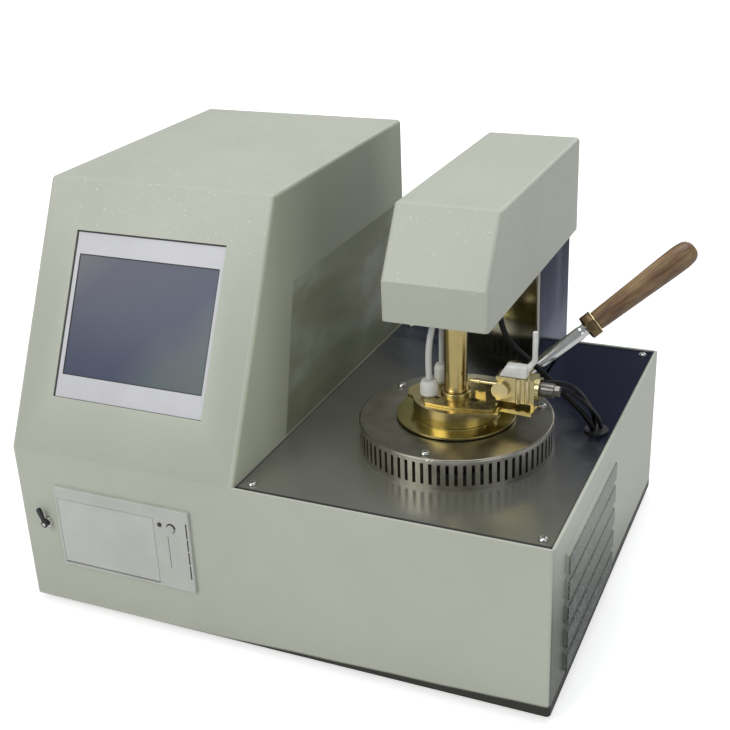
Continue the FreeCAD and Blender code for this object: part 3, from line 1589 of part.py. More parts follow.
def make_stirrer_motor():
    tall = (head_top - bracket_top) * STIRRER_MOTOR_SHARE
    can = cylinder("stirrer_can", s.stirrer_motor_radius, tall, cup_x, cup_y, bracket_top)
    bore = cylinder("stirrer_can_bore", s.motor_spigot_radius + s.running_fit,
                    s.motor_spigot_length + s.overrun * 2,
                    cup_x, cup_y, bracket_top - s.overrun)
    return cut("stirrer_motor", can, [bore])


def make_motor_bracket():
    half_x, half_y, thick = s.bracket_width / 2, s.bracket_depth / 2, s.bracket_wall
    deep = grown((cup_y, cup_y), half_y)
    outer = box("bracket_outer", grown((cup_x, cup_x), half_x), deep, (frame_top, bracket_top))
    inner = box("bracket_inner", grown((cup_x, cup_x), half_x - thick), grown(deep, s.overrun),
                (frame_top - s.overrun, bracket_top - thick))
    hole = cylinder("bracket_hole", s.coupling_radius, thick + s.overrun * 2, cup_x, cup_y,
                    bracket_top - thick - s.overrun)
    return cut("motor_bracket", outer, [inner, hole])


# Igniter on the cover's arm

arm_front = cup_y - s.block_front
block_low = cover_top + s.block_lift
block_top = block_low + s.block_height
block_x = (cup_x + s.block_left, cup_x + s.block_right)
block_y = (cup_y - s.block_front, cup_y + s.block_back)
barrel_x = cup_x + s.barrel_x
barrel_z = block_low + s.barrel_rise


def make_igniter_block():
    core = box("igniter_core", block_x, block_y, (block_low, block_top))
    plate_x = (block_x[1], block_x[1] + s.end_plate_wall)
    plate = box("igniter_plate", plate_x, grown(block_y, s.end_plate_wall / 2), (cover_top, block_top))
    pieces = [core, plate]
    for number, at in enumerate((s.rib_one_x, s.rib_two_x)):
        low = block_low if number == 0 else block_low + s.block_lift
        rib = cylinder(f"igniter_rib_{number}", s.rib_radius, block_top - low, cup_x + at, block_y[0],
                       low)
        pieces.append(rib)
    knob_y = block_y[1] + s.end_plate_wall * 0.65
    knob = cylinder("igniter_knob", s.rear_knob_radius, s.rear_knob_height, cup_x + s.rear_knob_x,
                    knob_y,
                    block_top - s.end_plate_wall)
    disc = cylinder("igniter_side_disc", s.side_disc_radius, s.side_disc_wall, plate_x[1],
                    (block_y[0] + block_y[1]) / 2,
                    block_low + s.fitting_rise, "X")
    bore = cylinder("igniter_bore", s.barrel_shaft_radius + s.running_fit,
                    s.block_front + s.block_back + s.overrun * 2,
                    barrel_x, block_y[0] - s.overrun, barrel_z, "Y")
    return cut("igniter_block", fused("igniter_whole", pieces + [knob, disc]), [bore])


def make_igniter_nozzle():
    face = block_y[0] - s.seat_gap
    head = cylinder("barrel_head", s.barrel_radius, s.barrel_head, barrel_x, face, barrel_z, "-Y")
    shaft = cylinder("barrel_shaft", s.barrel_shaft_radius,
                     s.block_front + s.block_back + s.seat_gap * 2 + wall,
                     barrel_x, face, barrel_z, "Y")
    at_y = face - s.barrel_head / 2
    at_z = barrel_z + s.nozzle_rise
    start = barrel_x - s.nozzle_reach
    arm = cylinder("nozzle_arm", s.nozzle_radius, s.nozzle_reach, start, at_y, at_z, "X")
    tip_start = start - s.nozzle_tip_length
    tip = doc.addObject("Part::Cone", "nozzle_tip")
    bind(tip, "Radius1", s.nozzle_flare)
    bind(tip, "Radius2", s.nozzle_tip_radius)
    bind(tip, "Height", s.nozzle_tip_length)
    put(tip, tip_start, at_y, at_z, AXIS_TURNS["X"])
    return fused("igniter_nozzle", [head, shaft, arm, tip])


post_x = cup_x + s.post_x


def make_insulator():
    body = new_body("insulator_block")
    low, high = block_top + s.seat_gap / 3, block_top + s.insulator_height
    x0, x1 = cup_x + s.insulator_left, cup_x + s.insulator_right
    mid_y = block_y[0] + s.insulator_depth / 2
    outline = [(x0, low), (x0, low + s.overrun), (x0 + s.insulator_slant, high), (x1, high),
               (x1 + s.overrun, low)]
    drawn = sketch(body, "insulator_outline", "XZ_Plane", -(mid_y + s.insulator_depth / 2))
    polygon(drawn, outline)
    pad(body, drawn, s.insulator_depth)
    neck_from = x1 - s.post_radius
    neck_low = block_top + s.insulator_height / 2
    neck = doc.addObject("Part::Cylinder", "insulator_neck")
    bind(neck, "Radius", s.post_radius)
    rise = s.post_low - s.insulator_height / 2
    reach = post_x - neck_from
    neck_length = math.hypot(reach.mm, rise.mm)
    bind(neck, "Height", reach * (neck_length / reach.mm))
    tilt = math.degrees(math.atan2(reach.mm, rise.mm))
    put(neck, neck_from, mid_y, neck_low, Rotation(Y, tilt))
    knee = doc.addObject("Part::Sphere", "insulator_knee")
    bind(knee, "Radius", s.post_radius)
    put(knee, post_x, mid_y, block_top + s.post_low)
    foot = block_top + s.post_low
    post = cylinder("insulator_post", s.post_radius, head_low - s.post_gap - foot, post_x, mid_y, foot)
    return fused("igniter_insulator", [body, neck, knee, post])


def make_gas_fitting():
    x = block_x[1] + s.end_plate_wall + s.side_disc_wall
    y = (block_y[0] + block_y[1]) / 2
    z = block_low + s.fitting_rise
    barrel = cylinder("fitting_barrel", s.fitting_radius, s.fitting_length, x, y, z, "X")
    nut = prism("fitting_nut", NUT_SIDES, s.fitting_nut_radius, s.fitting_nut_length,
                x + s.fitting_length, y, z, "X")
    return fused("gas_fitting", [barrel, nut])


# Probes with their plugs and leads

probe_one = (cup_x - s.probe_one_x, cup_y - s.probe_one_y)
probe_two = (cup_x - s.probe_two_x, cup_y + s.probe_two_y)


def make_probes():
    low = cover_low - s.probe_drop
    high = cover_top + s.plug_bore_depth - gap
    rods = []
    for x, y in (probe_one, probe_two):
        rods.append(cylinder(f"probe_{len(rods)}", s.probe_radius, high - low, x, y, low))
    return grouped("cup_probes", rods)


def plug_profile(radius, height):
    bore = s.probe_radius + s.running_fit
    neck = radius * 0.62
    profile = [(bore, cover_top), (neck, cover_top), (radius, cover_top + s.plug_foot)]
    profile += [(radius, cover_top + height - s.plug_foot), (radius * 0.86, cover_top + height)]
    profile += [(ZERO, cover_top + height), (ZERO, cover_top + s.plug_bore_depth),
                (bore, cover_top + s.plug_bore_depth)]
    return profile


def make_plugs():
    one = turned("plug_one", plug_profile(s.plug_one_radius, s.plug_one_height), *probe_one)
    two = turned("plug_two", plug_profile(s.plug_two_radius, s.plug_two_height), *probe_two)
    return grouped("probe_connectors", [one, two])


def corner_arc(before, corner, after, share):
    """The tangent arc that rounds a corner of a route."""
    back_way, on_way = before - corner, after - corner
    short = min(back_way.Length, on_way.Length) * share
    start = corner + back_way.normalize() * short
    end = corner + on_way.normalize() * short
    turn = math.pi - back_way.getAngle(on_way)
    radius = short / math.tan(turn / 2)
    inward = (back_way + on_way).normalize()
    reach = radius / math.cos(turn / 2) - radius
    return start, corner + inward * reach, end, radius


def tube_along(label, route, radius, share=0.45):
    """A tube of straight runs joined by tangent arcs."""
    points = [Vector(x.mm, y.mm, z.mm) for x, y, z in route]
    edges = []
    at = points[0]
    radii = []
    for before, corner, after in zip(points, points[1:], points[2:]):
        start, halfway, end, bend = corner_arc(before, corner, after, share)
        edges.append(Part.LineSegment(at, start).toShape())
        edges.append(Part.Arc(start, halfway, end).toShape())
        radii.append(round(bend, 1))
        at = end
    edges.append(Part.LineSegment(at, points[-1]).toShape())
    path = Part.Wire(edges)
    ahead = (points[1] - points[0]).normalize()
    section = Part.Wire([Part.Circle(points[0], ahead, radius.mm).toShape()])
    tube = path.makePipeShell([section], True, False)
    expected = math.pi * radius.mm ** 2 * path.Length
    ratio = tube.Volume / expected
    print(f"{label}: bend radii {radii}, length {path.Length:.1f}, volume ratio {ratio:.4f}")
    return made_shape(label, tube)


def route_between(start, end, shares):
    """A route whose points lie at shares of the way from start to end on each axis."""
    points = [start]
    for place in shares:
        points.append(tuple(low + (high - low) * share for low, high, share in zip(start, end, place)))
    return points + [end]


# Each probe lead: sideways places in lead radii, and shares of its height
LEAD_ONE_SHARES = [(-0.14, -0.18, 0.27), (0.27, -0.14, 0.54), (1.45, 0.14, 0.79), (1.91, 0.27, 1.0)]
LEAD_TWO_SHARES = [(0.09, -0.09, 0.365), (0.545, -0.545, 0.71), (0.73, -0.64, 1.0)]


def probe_route(probe, plug_height, shares):
    x, y = probe
    foot = cover_top + plug_height
    rise = gear_low - s.seat_gap * 2 - foot
    points = [(x, y, foot)]
    for across, deep, up in shares:
        points.append((x + s.lead_radius * across, y + s.lead_radius * deep, foot + rise * up))
    return points


def make_probe_leads():
    one = tube_along("lead_one", probe_route(probe_one, s.plug_one_height, LEAD_ONE_SHARES),
                     s.lead_radius)
    two = tube_along("lead_two", probe_route(probe_two, s.plug_two_height, LEAD_TWO_SHARES),
                     s.thin_lead_radius)
    return grouped("probe_leads", [one, two])


# Lifting head

def head_outline(inset):
    """The head's side outline as (y, z) points, drawn in by an inset."""
    angle = math.atan2(s.head_slope_run.mm, (s.head_height - s.head_break).mm)
    low = head_low + s.head_break - inset * math.tan(angle / 2)
    high = head_front + s.head_slope_run + inset * (1 / math.cos(angle) - math.tan(angle))
    return [(head_front + inset, low), (high, head_top - inset), (back - inset, head_top - inset)]


def make_head_shell():
    body = new_body("head_shell")
    over = s.overrun
    outline = [(head_front, head_low)] + head_outline(ZERO) + [(back, head_low)]
    pad(body, polygon(sketch(body, "head_side", "YZ_Plane", head_left), outline), s.head_width)

    def bends(edge):
        point = middle(edge)
        if near(point.z, head_low):
            return False
        return not (along(edge, X) and near(point.z, head_low + s.head_break))

    soften(body, s.bend_radius, bends)
    inside = [(head_front + wall, head_low - over)] + head_outline(wall) + [(back - wall,
                                                                             head_low - over)]
    drawn = polygon(sketch(body, "head_hollow", "YZ_Plane", head_left + wall), inside)
    pocket(body, drawn, s.head_width - wall * 2, reverse=True)
    return body


def make_head_bottom():
    body = new_body("head_bottom")
    over = s.overrun
    across = (head_left + wall + gap, head_right - wall - gap)
    deep = (head_front + wall + gap, column_front - s.column_slot_gap)
    plate = rectangle(sketch(body, "bottom_outline", offset=head_low), across, deep)
    pad(body, plate, s.head_bottom_thickness)
    holes = sketch(body, "bottom_holes", offset=bottom_top + over)
    circle(holes, cup_x, cup_y, s.sleeve_radius + s.seat_gap * 2)
    circle(holes, probe_one[0] + s.lead_radius * 1.6, probe_one[1], s.lead_radius * 2)
    circle(holes, probe_two[0] + s.thin_lead_radius, probe_two[1] - s.thin_lead_radius,
           s.lead_radius * 2)
    circle(holes, cable_x, cable_y, s.head_cable_radius + gap * 3)
    pocket(body, holes, s.head_bottom_thickness + over * 2)
    return body


def make_head_frame():
    body = new_body("head_frame")
    over = s.overrun
    across = (head_left + wall + gap, head_right - wall - gap)
    deep = (head_front + wall * 6, column_back)
    pad(body, rectangle(sketch(body, "frame_outline", offset=frame_low), across, deep),
        s.frame_thickness)
    holes = sketch(body, "frame_holes", offset=frame_top + over)
    circle(holes, cup_x, cup_y, s.tube_radius + s.running_fit)
    circle(holes, cup_x, pinion_y, s.pinion_shaft_radius * 2)
    pocket(body, holes, s.frame_thickness + over * 2)
    return body


def make_column():
    body = new_body("column")
    low = lift_floor + s.column_foot_gap
    across, deep = (column_left, column_right), (column_front, column_back)
    pad(body, rectangle(sketch(body, "column_outline", offset=low), across, deep), frame_low - low)
    soften(body, s.column_bend, lambda edge: along(edge, Z))
    inside = rectangle(sketch(body, "column_hollow", offset=low - s.overrun),
                       grown(across, -s.column_wall),
                       grown(deep, -s.column_wall))
    pocket(body, inside, frame_low - low - s.column_wall + s.overrun, reverse=True)
    return body


def make_carriage():
    inset = s.column_wall
    across, deep = (column_left + inset, column_right - inset), (column_front + inset,
                                                                 column_back - inset)
    plate = box("carriage_plate", across, deep, (carriage_low, carriage_top))
    over = s.overrun
    tall = s.carriage_thickness + over * 2
    tools = [cylinder("carriage_nut_hole", s.nut_radius + s.running_fit, tall, lift_x, lift_y,
                      carriage_low - over)]
    for name, side in (("front", -1), ("rear", 1)):
        y = lift_y + rod_spread * side
        tools.append(cylinder(f"carriage_hole_{name}", s.bushing_radius + s.running_fit / 5, tall,
                              lift_x, y, carriage_low - over))
    notch_x = (across[0] - over, mast_x[1] + s.column_slot_gap)
    notch_y = grown(mast_y, s.column_slot_gap)
    tools.append(box("carriage_notch", notch_x, notch_y, (carriage_low - over, carriage_top + over)))
    return cut("carriage", plate, tools)


mast_left = column_left + s.column_wall + s.mast_clearance
mast_x = (mast_left, mast_left + s.mast_wall)
mast_y = (lift_y - s.mast_depth / 2, lift_y + s.mast_depth / 2)


def make_bushings():
    low = carriage_low - (s.bushing_length - s.carriage_thickness) / 2
    bushes = []
    for side in (-1, 1):
        y = lift_y + rod_spread * side
        bore = s.rod_radius + s.running_fit
        bushes.append(ring(f"bushing_{len(bushes)}", s.bushing_radius, bore, low,
                           low + s.bushing_length, lift_x, y))
    return grouped("linear_bushings", bushes)


def make_lift_nut():
    bore = s.screw_shaft_radius + s.running_fit
    low = carriage_low - s.nut_flange
    profile = [(bore, low), (s.nut_flange_radius, low), (s.nut_flange_radius, carriage_low),
               (s.nut_radius, carriage_low)]
    profile += [(s.nut_radius, low + s.nut_length), (bore, low + s.nut_length)]
    return turned("lift_nut", profile, lift_x, lift_y)


def make_lead_screw():
    low = motor_top + s.seat_gap
    top = mast_top - s.seat_gap
    profile = [(ZERO, low - s.screw_tail_length), (s.screw_tail_radius, low - s.screw_tail_length),
               (s.screw_tail_radius, low)]
    profile += [(s.screw_shaft_radius, low), (s.screw_shaft_radius, top), (ZERO, top)]
    return turned("lead_screw", profile, lift_x, lift_y)


def make_lift_motor():
    body = new_body("lift_motor")
    half = s.motor_width / 2
    square = rectangle(sketch(body, "motor_square", offset=lift_floor), grown((ZERO, ZERO), half),
                       grown((ZERO, ZERO), half))
    pad(body, square, s.motor_height)
    soften(body, s.motor_corner, lambda edge: along(edge, Z), "Chamfer")
    bore = circle(sketch(body, "motor_bore", offset=motor_top + s.overrun), ZERO, ZERO,
                  s.screw_tail_radius + s.running_fit)
    pocket(body, bore, s.screw_tail_length + s.overrun * 2)
    return put(body, lift_x, lift_y)


def make_guide_rods():
    rods = []
    for side in (-1, 1):
        y = lift_y + rod_spread * side
        rods.append(cylinder(f"guide_rod_{len(rods)}", s.rod_radius, mast_top - lift_floor, lift_x, y,
                             lift_floor))
    return grouped("guide_rods", rods)


def make_lift_frame():
    body = new_body("lift_frame")
    margin = s.lift_base_margin
    base = sketch(body, "lift_base", offset=pan_top)
    rectangle(base, (column_left - margin, column_right + margin),
              (column_front - margin, back - wall * 3 - gap * 2))
    pad(body, base, s.lift_base_thickness)
    pad(body, rectangle(sketch(body, "mast_outline", offset=pan_top), mast_x, mast_y),
        mast_top - pan_top)
    half = rod_spread + s.rod_radius * 1.6
    bridge = sketch(body, "bridge_outline", offset=bridge_low)
    rectangle(bridge, (mast_x[0], lift_x + s.rod_radius * 3), grown((lift_y, lift_y), half))
    pad(body, bridge, s.bridge_thickness)
    holes = sketch(body, "bridge_holes", offset=mast_top + s.overrun)
    circle(holes, lift_x, lift_y, s.screw_shaft_radius + s.running_fit)
    for side in (-1, 1):
        circle(holes, lift_x, lift_y + rod_spread * side, s.rod_radius + s.running_fit / 5)
    pocket(body, holes, s.bridge_thickness + s.overrun * 2)
    return body


# Leads to the deck: shares of the way from the head or the igniter to the gland

HEAD_CABLE_SHARES = [
    (0.025, 0.013, 0.161), (0.148, 0.066, 0.301), (0.362, 0.262, 0.442),
    (0.584, 0.459, 0.602), (0.773, 0.656, 0.753), (0.921, 0.836, 0.868),
]
IGNITER_LEAD_SHARES = [
    [(0.362, 0.031, -0.02), (0.697, 0.223, 0.098), (0.874, 0.47, 0.328), (0.961, 0.706, 0.578),
     (1.016, 0.897, 0.788)],
    [(0.272, 0.049, -0.004), (0.536, 0.261, 0.128), (0.752, 0.507, 0.367), (0.901, 0.742, 0.617),
     (0.987, 0.897, 0.802)],
]
LEAD_START_SHARES = [(0.76, 0.3), (0.8, -0.2)]
LEAD_END_SHARES = [(-0.4, 0.53), (0.43, 0.26)]
CABLE_END_SHARES = (-0.29, -0.52)


def gland_place(across, deep):
    """Where a lead enters the gland, in shares of the gland's radius."""
    return gland_x + s.gland_neck * across, gland_y + s.gland_neck * deep, deck + s.lead_end_rise


def make_head_cable():
    start = (cable_x, cable_y, bottom_top + wall)
    route = route_between(start, gland_place(*CABLE_END_SHARES), HEAD_CABLE_SHARES)
    return tube_along("head_cable", route, s.head_cable_radius)


def make_igniter_leads():
    face = block_x[1] + s.end_plate_wall + s.side_disc_wall + s.seat_gap
    mid_y, mid_z = (block_y[0] + block_y[1]) / 2, block_low + s.fitting_rise
    tubes = []
    for begin, finish, shares in zip(LEAD_START_SHARES, LEAD_END_SHARES, IGNITER_LEAD_SHARES):
        start = (face, mid_y + s.side_disc_radius * begin[0], mid_z + s.side_disc_radius * begin[1])
        route = route_between(start, gland_place(*finish), shares)
        tubes.append(tube_along(f"igniter_lead_{len(tubes)}", route, s.igniter_lead_radius))
    return grouped("igniter_leads", tubes)


def make_deck_gland():
    profile = [(ZERO, deck_under - s.gland_flange), (s.gland_neck, deck_under - s.gland_flange),
               (s.gland_neck, deck)]
    profile += [(s.gland_radius, deck), (s.gland_radius, deck + s.gland_flange)]
    profile += [(s.gland_neck, deck + s.gland_flange), (ZERO, deck + s.gland_flange)]
    return turned("deck_gland", profile, gland_x, gland_y)


# Rear wall and inside of the base

def make_fan_frame():
    body = new_body("fan_frame")
    face = back - wall
    half = s.fan_size / 2
    square = sketch(body, "fan_square", "XZ_Plane", -face)
    rectangle(square, grown((fan_x, fan_x), half), grown((fan_z, fan_z), half))
    pad(body, square, s.fan_depth)
    soften(body, s.motor_corner, lambda edge: along(edge, Y))
    duct = circle(sketch(body, "fan_duct", "XZ_Plane", -(face + s.overrun)), fan_x, fan_z,
                  s.fan_duct_radius)
    pocket(body, duct, s.fan_depth + s.overrun * 2, reverse=True)
    inner = face - s.fan_depth
    bridge = sketch(body, "fan_bridge", "XZ_Plane", -(inner + s.fan_bridge_wall))
    rectangle(bridge, grown((fan_x, fan_x), s.fan_duct_radius + s.overrun),
              grown((fan_z, fan_z), s.grille_ring))
    pad(body, bridge, s.fan_bridge_wall)
    pin = circle(sketch(body, "fan_pin", "XZ_Plane", -(inner + s.fan_bridge_wall)), fan_x, fan_z,
                 s.fan_pin_radius)
    pad(body, pin, s.fan_blade_depth / 2, reverse=True)
    return body


def make_fan_rotor():
    start = back - wall - s.fan_depth + s.fan_bridge_wall + s.seat_gap * 2
    hub = cylinder("fan_hub", s.fan_hub_radius, s.fan_blade_depth, fan_x, start, fan_z, "Y")
    pieces = [hub]
    for number in range(FAN_BLADES):
        blade = doc.addObject("Part::Box", f"fan_blade_{number}")
        bind(blade, "Length", s.fan_blade_radius - s.fan_hub_radius / 2)
        bind(blade, "Width", s.fan_blade_depth)
        bind(blade, "Height", s.fan_blade_wall)
        turn = 360 * number / FAN_BLADES
        spin = Rotation(Y, -turn).multiply(Rotation(X, POST_TURN))
        ahead, aside = polar(s.fan_hub_radius / 2, turn)
        put(blade, fan_x + ahead, start + s.fan_blade_wall, fan_z + aside, spin)
        pieces.append(blade)
    whole = fused("fan_whole", pieces)
    limit = cylinder("fan_limit", s.fan_blade_radius, s.fan_blade_depth, fan_x, start, fan_z, "Y")
    kept = doc.addObject("Part::Common", "fan_kept")
    kept.Base = whole
    kept.Tool = limit
    bore = cylinder("fan_bore", s.fan_pin_radius + s.running_fit, s.fan_blade_depth / 2, fan_x, start,
                    fan_z, "Y")
    return cut("fan_rotor", kept, [bore])


def make_power_inlet():
    face = back
    half_x, half_z = s.inlet_flange_width / 2, s.inlet_flange_height / 2
    mid_z = floor + s.inlet_rise
    flange = box("inlet_flange", grown((inlet_mid, inlet_mid), half_x), (face, face + s.inlet_flange),
                 grown((mid_z, mid_z), half_z))
    case = box("inlet_case", inlet_x, (face - s.inlet_depth, face), inlet_z)
    inside = s.inlet_wall
    socket = box("inlet_socket", grown(inlet_x, -inside),
                 (face - s.inlet_depth + inside, face + s.inlet_flange + s.overrun),
                 grown(inlet_z, -inside))
    shell = cut("inlet_shell", fused("inlet_whole", [flange, case]), [socket])
    pieces = [shell]
    root = face - s.inlet_depth + inside / 2
    for number, side in enumerate((-1, 0, 1)):
        x = inlet_mid + s.inlet_pin_spread * side
        z = mid_z + (s.inlet_earth_rise if side == 0 else -s.inlet_earth_rise / 2)
        pieces.append(box(f"inlet_pin_{number}", grown((x, x), s.inlet_pin_wall / 2),
                          (root, root + s.inlet_pin_length),
                          grown((z, z), s.inlet_pin_height / 2)))
    return fused("power_inlet", pieces)


def make_gas_inlet():
    barb, tip, length = s.gas_barb_radius, s.gas_barb_tip_radius, s.gas_barb_length
    thread = wall + s.gas_thread_length
    profile = [(s.gas_bore_radius, -thread), (s.gas_thread_radius, -thread), (s.gas_thread_radius, ZERO)]
    profile += [(s.gas_nut_radius, ZERO), (s.gas_nut_radius, s.gas_nut_length), (tip, s.gas_nut_length)]
    profile += [(tip, s.gas_nut_length + length * 0.3), (barb, s.gas_nut_length + length * 0.3)]
    profile += [(barb, s.gas_nut_length + length * 0.7), (tip, s.gas_nut_length + length),
                (s.gas_bore_radius, s.gas_nut_length + length)]
    return turned("gas_inlet", profile, gas_x, back, gas_z, AXIS_TURNS["Y"])


def make_main_board():
    low = pan_top + s.board_lift
    top = low + s.board_wall
    pieces = [box("board_sheet", board_x, board_y, (low, top))]
    for number, (share_x, share_y) in enumerate(((0.25, 0.3), (0.6, 0.35), (0.3, 0.7))):
        x = board_x[0] + s.board_width * share_x
        y = board_y[0] + s.board_length * share_y
        half = s.chip_size / 2
        pieces.append(box(f"chip_{number}", grown((x, x), half), grown((y, y), half),
                          (top, top + s.chip_height)))
    for number, share in enumerate((0.6, 0.75, 0.9)):
        x = board_x[0] + s.board_width * 0.82
        y = board_y[0] + s.board_length * share
        pieces.append(cylinder(f"capacitor_{number}", s.capacitor_radius, s.capacitor_height, x, y, top))
    return fused("main_board", pieces)


def make_power_supply():
    x = (left + s.supply_left, left + s.supply_left + s.supply_width)
    behind = back - wall - s.fan_depth - s.supply_back_gap
    y = (behind - s.supply_length, behind)
    case = box("supply_case", x, y, (pan_top, pan_top + s.supply_height))
    vents = []
    for number in range(SUPPLY_VENTS):
        start = y[0] + s.supply_edge + (s.supply_length - s.supply_edge * 2) * number / SUPPLY_VENTS
        top = pan_top + s.supply_height
        vents.append(box(f"supply_vent_{number}", grown(x, -s.supply_edge),
                         (start, start + s.supply_vent),
                         (top - s.supply_vent, top + s.overrun)))
    return cut("power_supply", case, vents)


# The model: every node with its name

NODES = {
    "housing_shell": make_housing_shell,
    "base_pan": make_base_pan,
    "rubber_feet": make_feet,
    "deck_plate": make_deck_plate,
    "rear_panel": make_rear_panel,
    "cover_screws": make_screws,
    "lcd_bezel": make_screen_bezel,
    "lcd_glass": make_glass,
    "printer_bezel": make_printer_bezel,
    "printer_door": make_printer_door,
    "platen_roller": make_platen,
    "paper_roll": make_paper_roll,
    "feed_button": make_feed_button,
    "status_led": make_status_lamp,
    "gas_valve_body": make_valve_body,
    "gas_valve_lever": make_valve_lever,
    "guard_ring": make_guard_ring,
    "heating_bath": make_heating_bath,
    "heater_band": make_heater,
    "bath_insulation": make_insulation,
    "test_cup": make_test_cup,
    "handle_rod": make_handle_rod,
    "handle_ferrule": make_ferrule,
    "handle_grip": make_grip,
    "cover": make_cover,
    "shutter": make_shutter,
    "shutter_sleeve": make_sleeve,
    "drive_gear": make_drive_gear,
    "drive_pinion": make_pinion,
    "shutter_motor": make_shutter_motor,
    "stirrer": make_stirrer,
    "stirrer_motor": make_stirrer_motor,
    "motor_bracket": make_motor_bracket,
    "igniter_block": make_igniter_block,
    "igniter_nozzle": make_igniter_nozzle,
    "igniter_insulator": make_insulator,
    "gas_fitting": make_gas_fitting,
    "cup_probes": make_probes,
    "probe_connectors": make_plugs,
    "probe_leads": make_probe_leads,
    "head_shell": make_head_shell,
    "head_bottom": make_head_bottom,
    "head_frame": make_head_frame,
    "column": make_column,
    "carriage": make_carriage,
    "linear_bushings": make_bushings,
    "lift_nut": make_lift_nut,
    "lead_screw": make_lead_screw,
    "lift_motor": make_lift_motor,
    "guide_rods": make_guide_rods,
    "lift_frame": make_lift_frame,
    "head_cable": make_head_cable,
    "igniter_leads": make_igniter_leads,
    "deck_gland": make_deck_gland,
    "fan_frame": make_fan_frame,
    "fan_rotor": make_fan_rotor,
    "power_inlet": make_power_inlet,
    "gas_inlet": make_gas_inlet,
    "main_board": make_main_board,
    "power_supply": make_power_supply,
}

nodes = {}
for name, make in NODES.items():
    nodes[name] = make()
doc.recompute()
for name, node in nodes.items():
    node.Label = name

faults = [thing.Name for thing in doc.Objects if "Invalid" in thing.State or "Error" in thing.State]
for name, node in nodes.items():
    if node.Shape.isNull() or not node.Shape.isValid():
        faults.append(name + " has no valid shape")
if faults:
    raise ValueError("faults: " + ", ".join(faults))

os.makedirs("parts", exist_ok=True)
for name, node in nodes.items():
    node.Shape.exportStep(f"parts/{name}.step")
print(f"{len(nodes)} nodes written")
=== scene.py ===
import json
import math

import bmesh
import bpy
from mathutils import Matrix, Vector


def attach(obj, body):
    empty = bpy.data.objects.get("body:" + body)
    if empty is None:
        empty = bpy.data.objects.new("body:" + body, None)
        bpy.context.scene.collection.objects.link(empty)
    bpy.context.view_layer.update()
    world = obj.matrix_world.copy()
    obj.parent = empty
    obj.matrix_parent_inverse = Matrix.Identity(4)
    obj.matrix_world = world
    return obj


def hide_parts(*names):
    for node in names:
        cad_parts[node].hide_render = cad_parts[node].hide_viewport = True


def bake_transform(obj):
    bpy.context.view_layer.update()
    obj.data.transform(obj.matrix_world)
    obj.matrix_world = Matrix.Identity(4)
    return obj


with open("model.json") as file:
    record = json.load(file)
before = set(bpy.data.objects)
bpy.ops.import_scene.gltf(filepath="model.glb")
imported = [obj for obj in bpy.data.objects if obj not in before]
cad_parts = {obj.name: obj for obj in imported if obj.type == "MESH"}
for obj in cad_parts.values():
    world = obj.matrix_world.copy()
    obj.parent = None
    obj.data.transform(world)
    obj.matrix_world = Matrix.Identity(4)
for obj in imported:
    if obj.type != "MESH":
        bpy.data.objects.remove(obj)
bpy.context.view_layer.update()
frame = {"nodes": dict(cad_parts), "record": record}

scene = bpy.context.scene
nodes = frame["nodes"]

# Lengths below are in millimetres and are scaled to metres when a piece is placed
MM = 0.001
TO_METRES = Matrix.Scale(MM, 4)

X, Y, Z = range(3)


def low_of(node, axis):
    """Where a node's box begins along an axis, in millimetres."""
    return round(min(corner[axis] for corner in nodes[node].bound_box) / MM, 2)


def high_of(node, axis):
    """Where a node's box ends along an axis, in millimetres."""
    return round(max(corner[axis] for corner in nodes[node].bound_box) / MM, 2)


def axis_of(node):
    """The upright line through the middle of a node's box, in millimetres."""
    middle = [round((low_of(node, axis) + high_of(node, axis)) / 2, 2) for axis in (X, Y)]
    return Vector((*middle, 0.0))


# Places taken from the construction
FRONT, BACK = low_of("housing_shell", Y), high_of("housing_shell", Y)
DECK, GUARD_TOP = low_of("guard_ring", Z), high_of("guard_ring", Z)
CUP_AXIS = axis_of("guard_ring")
CUP_FOOT = low_of("test_cup", Z)
FLANGE_FOOT, FLANGE_TOP = 153.0, 154.6
COVER_TOP = low_of("igniter_block", Z)
HUB_TOP = low_of("shutter_sleeve", Z)
BLOCK_TOP = low_of("igniter_insulator", Z)
LEAD_SCREW_AXIS = axis_of("lead_screw")
RIM = 131.0
SLOPE_RUN, SLOPE_RISE = 89.0, high_of("housing_shell", Z) - RIM
SLOPE_LEAN = math.atan2(SLOPE_RUN, SLOPE_RISE)


def round_cup(reach, turn, height):
    """A place at a distance and a turn from the cup's axis."""
    return CUP_AXIS + Vector((reach * math.cos(turn), reach * math.sin(turn), height))


HANDLE_TURN = math.radians(35.5)
HANDLE_TILT = math.radians(33.7)
HANDLE_REACH, HANDLE_HEIGHT = 36.0, 166.1
HANDLE_START = round_cup(HANDLE_REACH, HANDLE_TURN, HANDLE_HEIGHT)
HANDLE_WAY = Vector((
    math.cos(HANDLE_TILT) * math.cos(HANDLE_TURN),
    math.cos(HANDLE_TILT) * math.sin(HANDLE_TURN),
    math.sin(HANDLE_TILT),
))


# Camera, at the photograph's place: metres, and millimetres for the lens

CAMERA_PLACE = (0.3532, -0.7524, 0.5320)
CAMERA_AZIMUTH, CAMERA_ELEVATION, CAMERA_ROLL = (math.radians(angle) for angle in (24.464, 24.317, 2.495))
LENS, SENSOR = 59.55, 36.0
NEAR, FAR = 0.01, 60.0


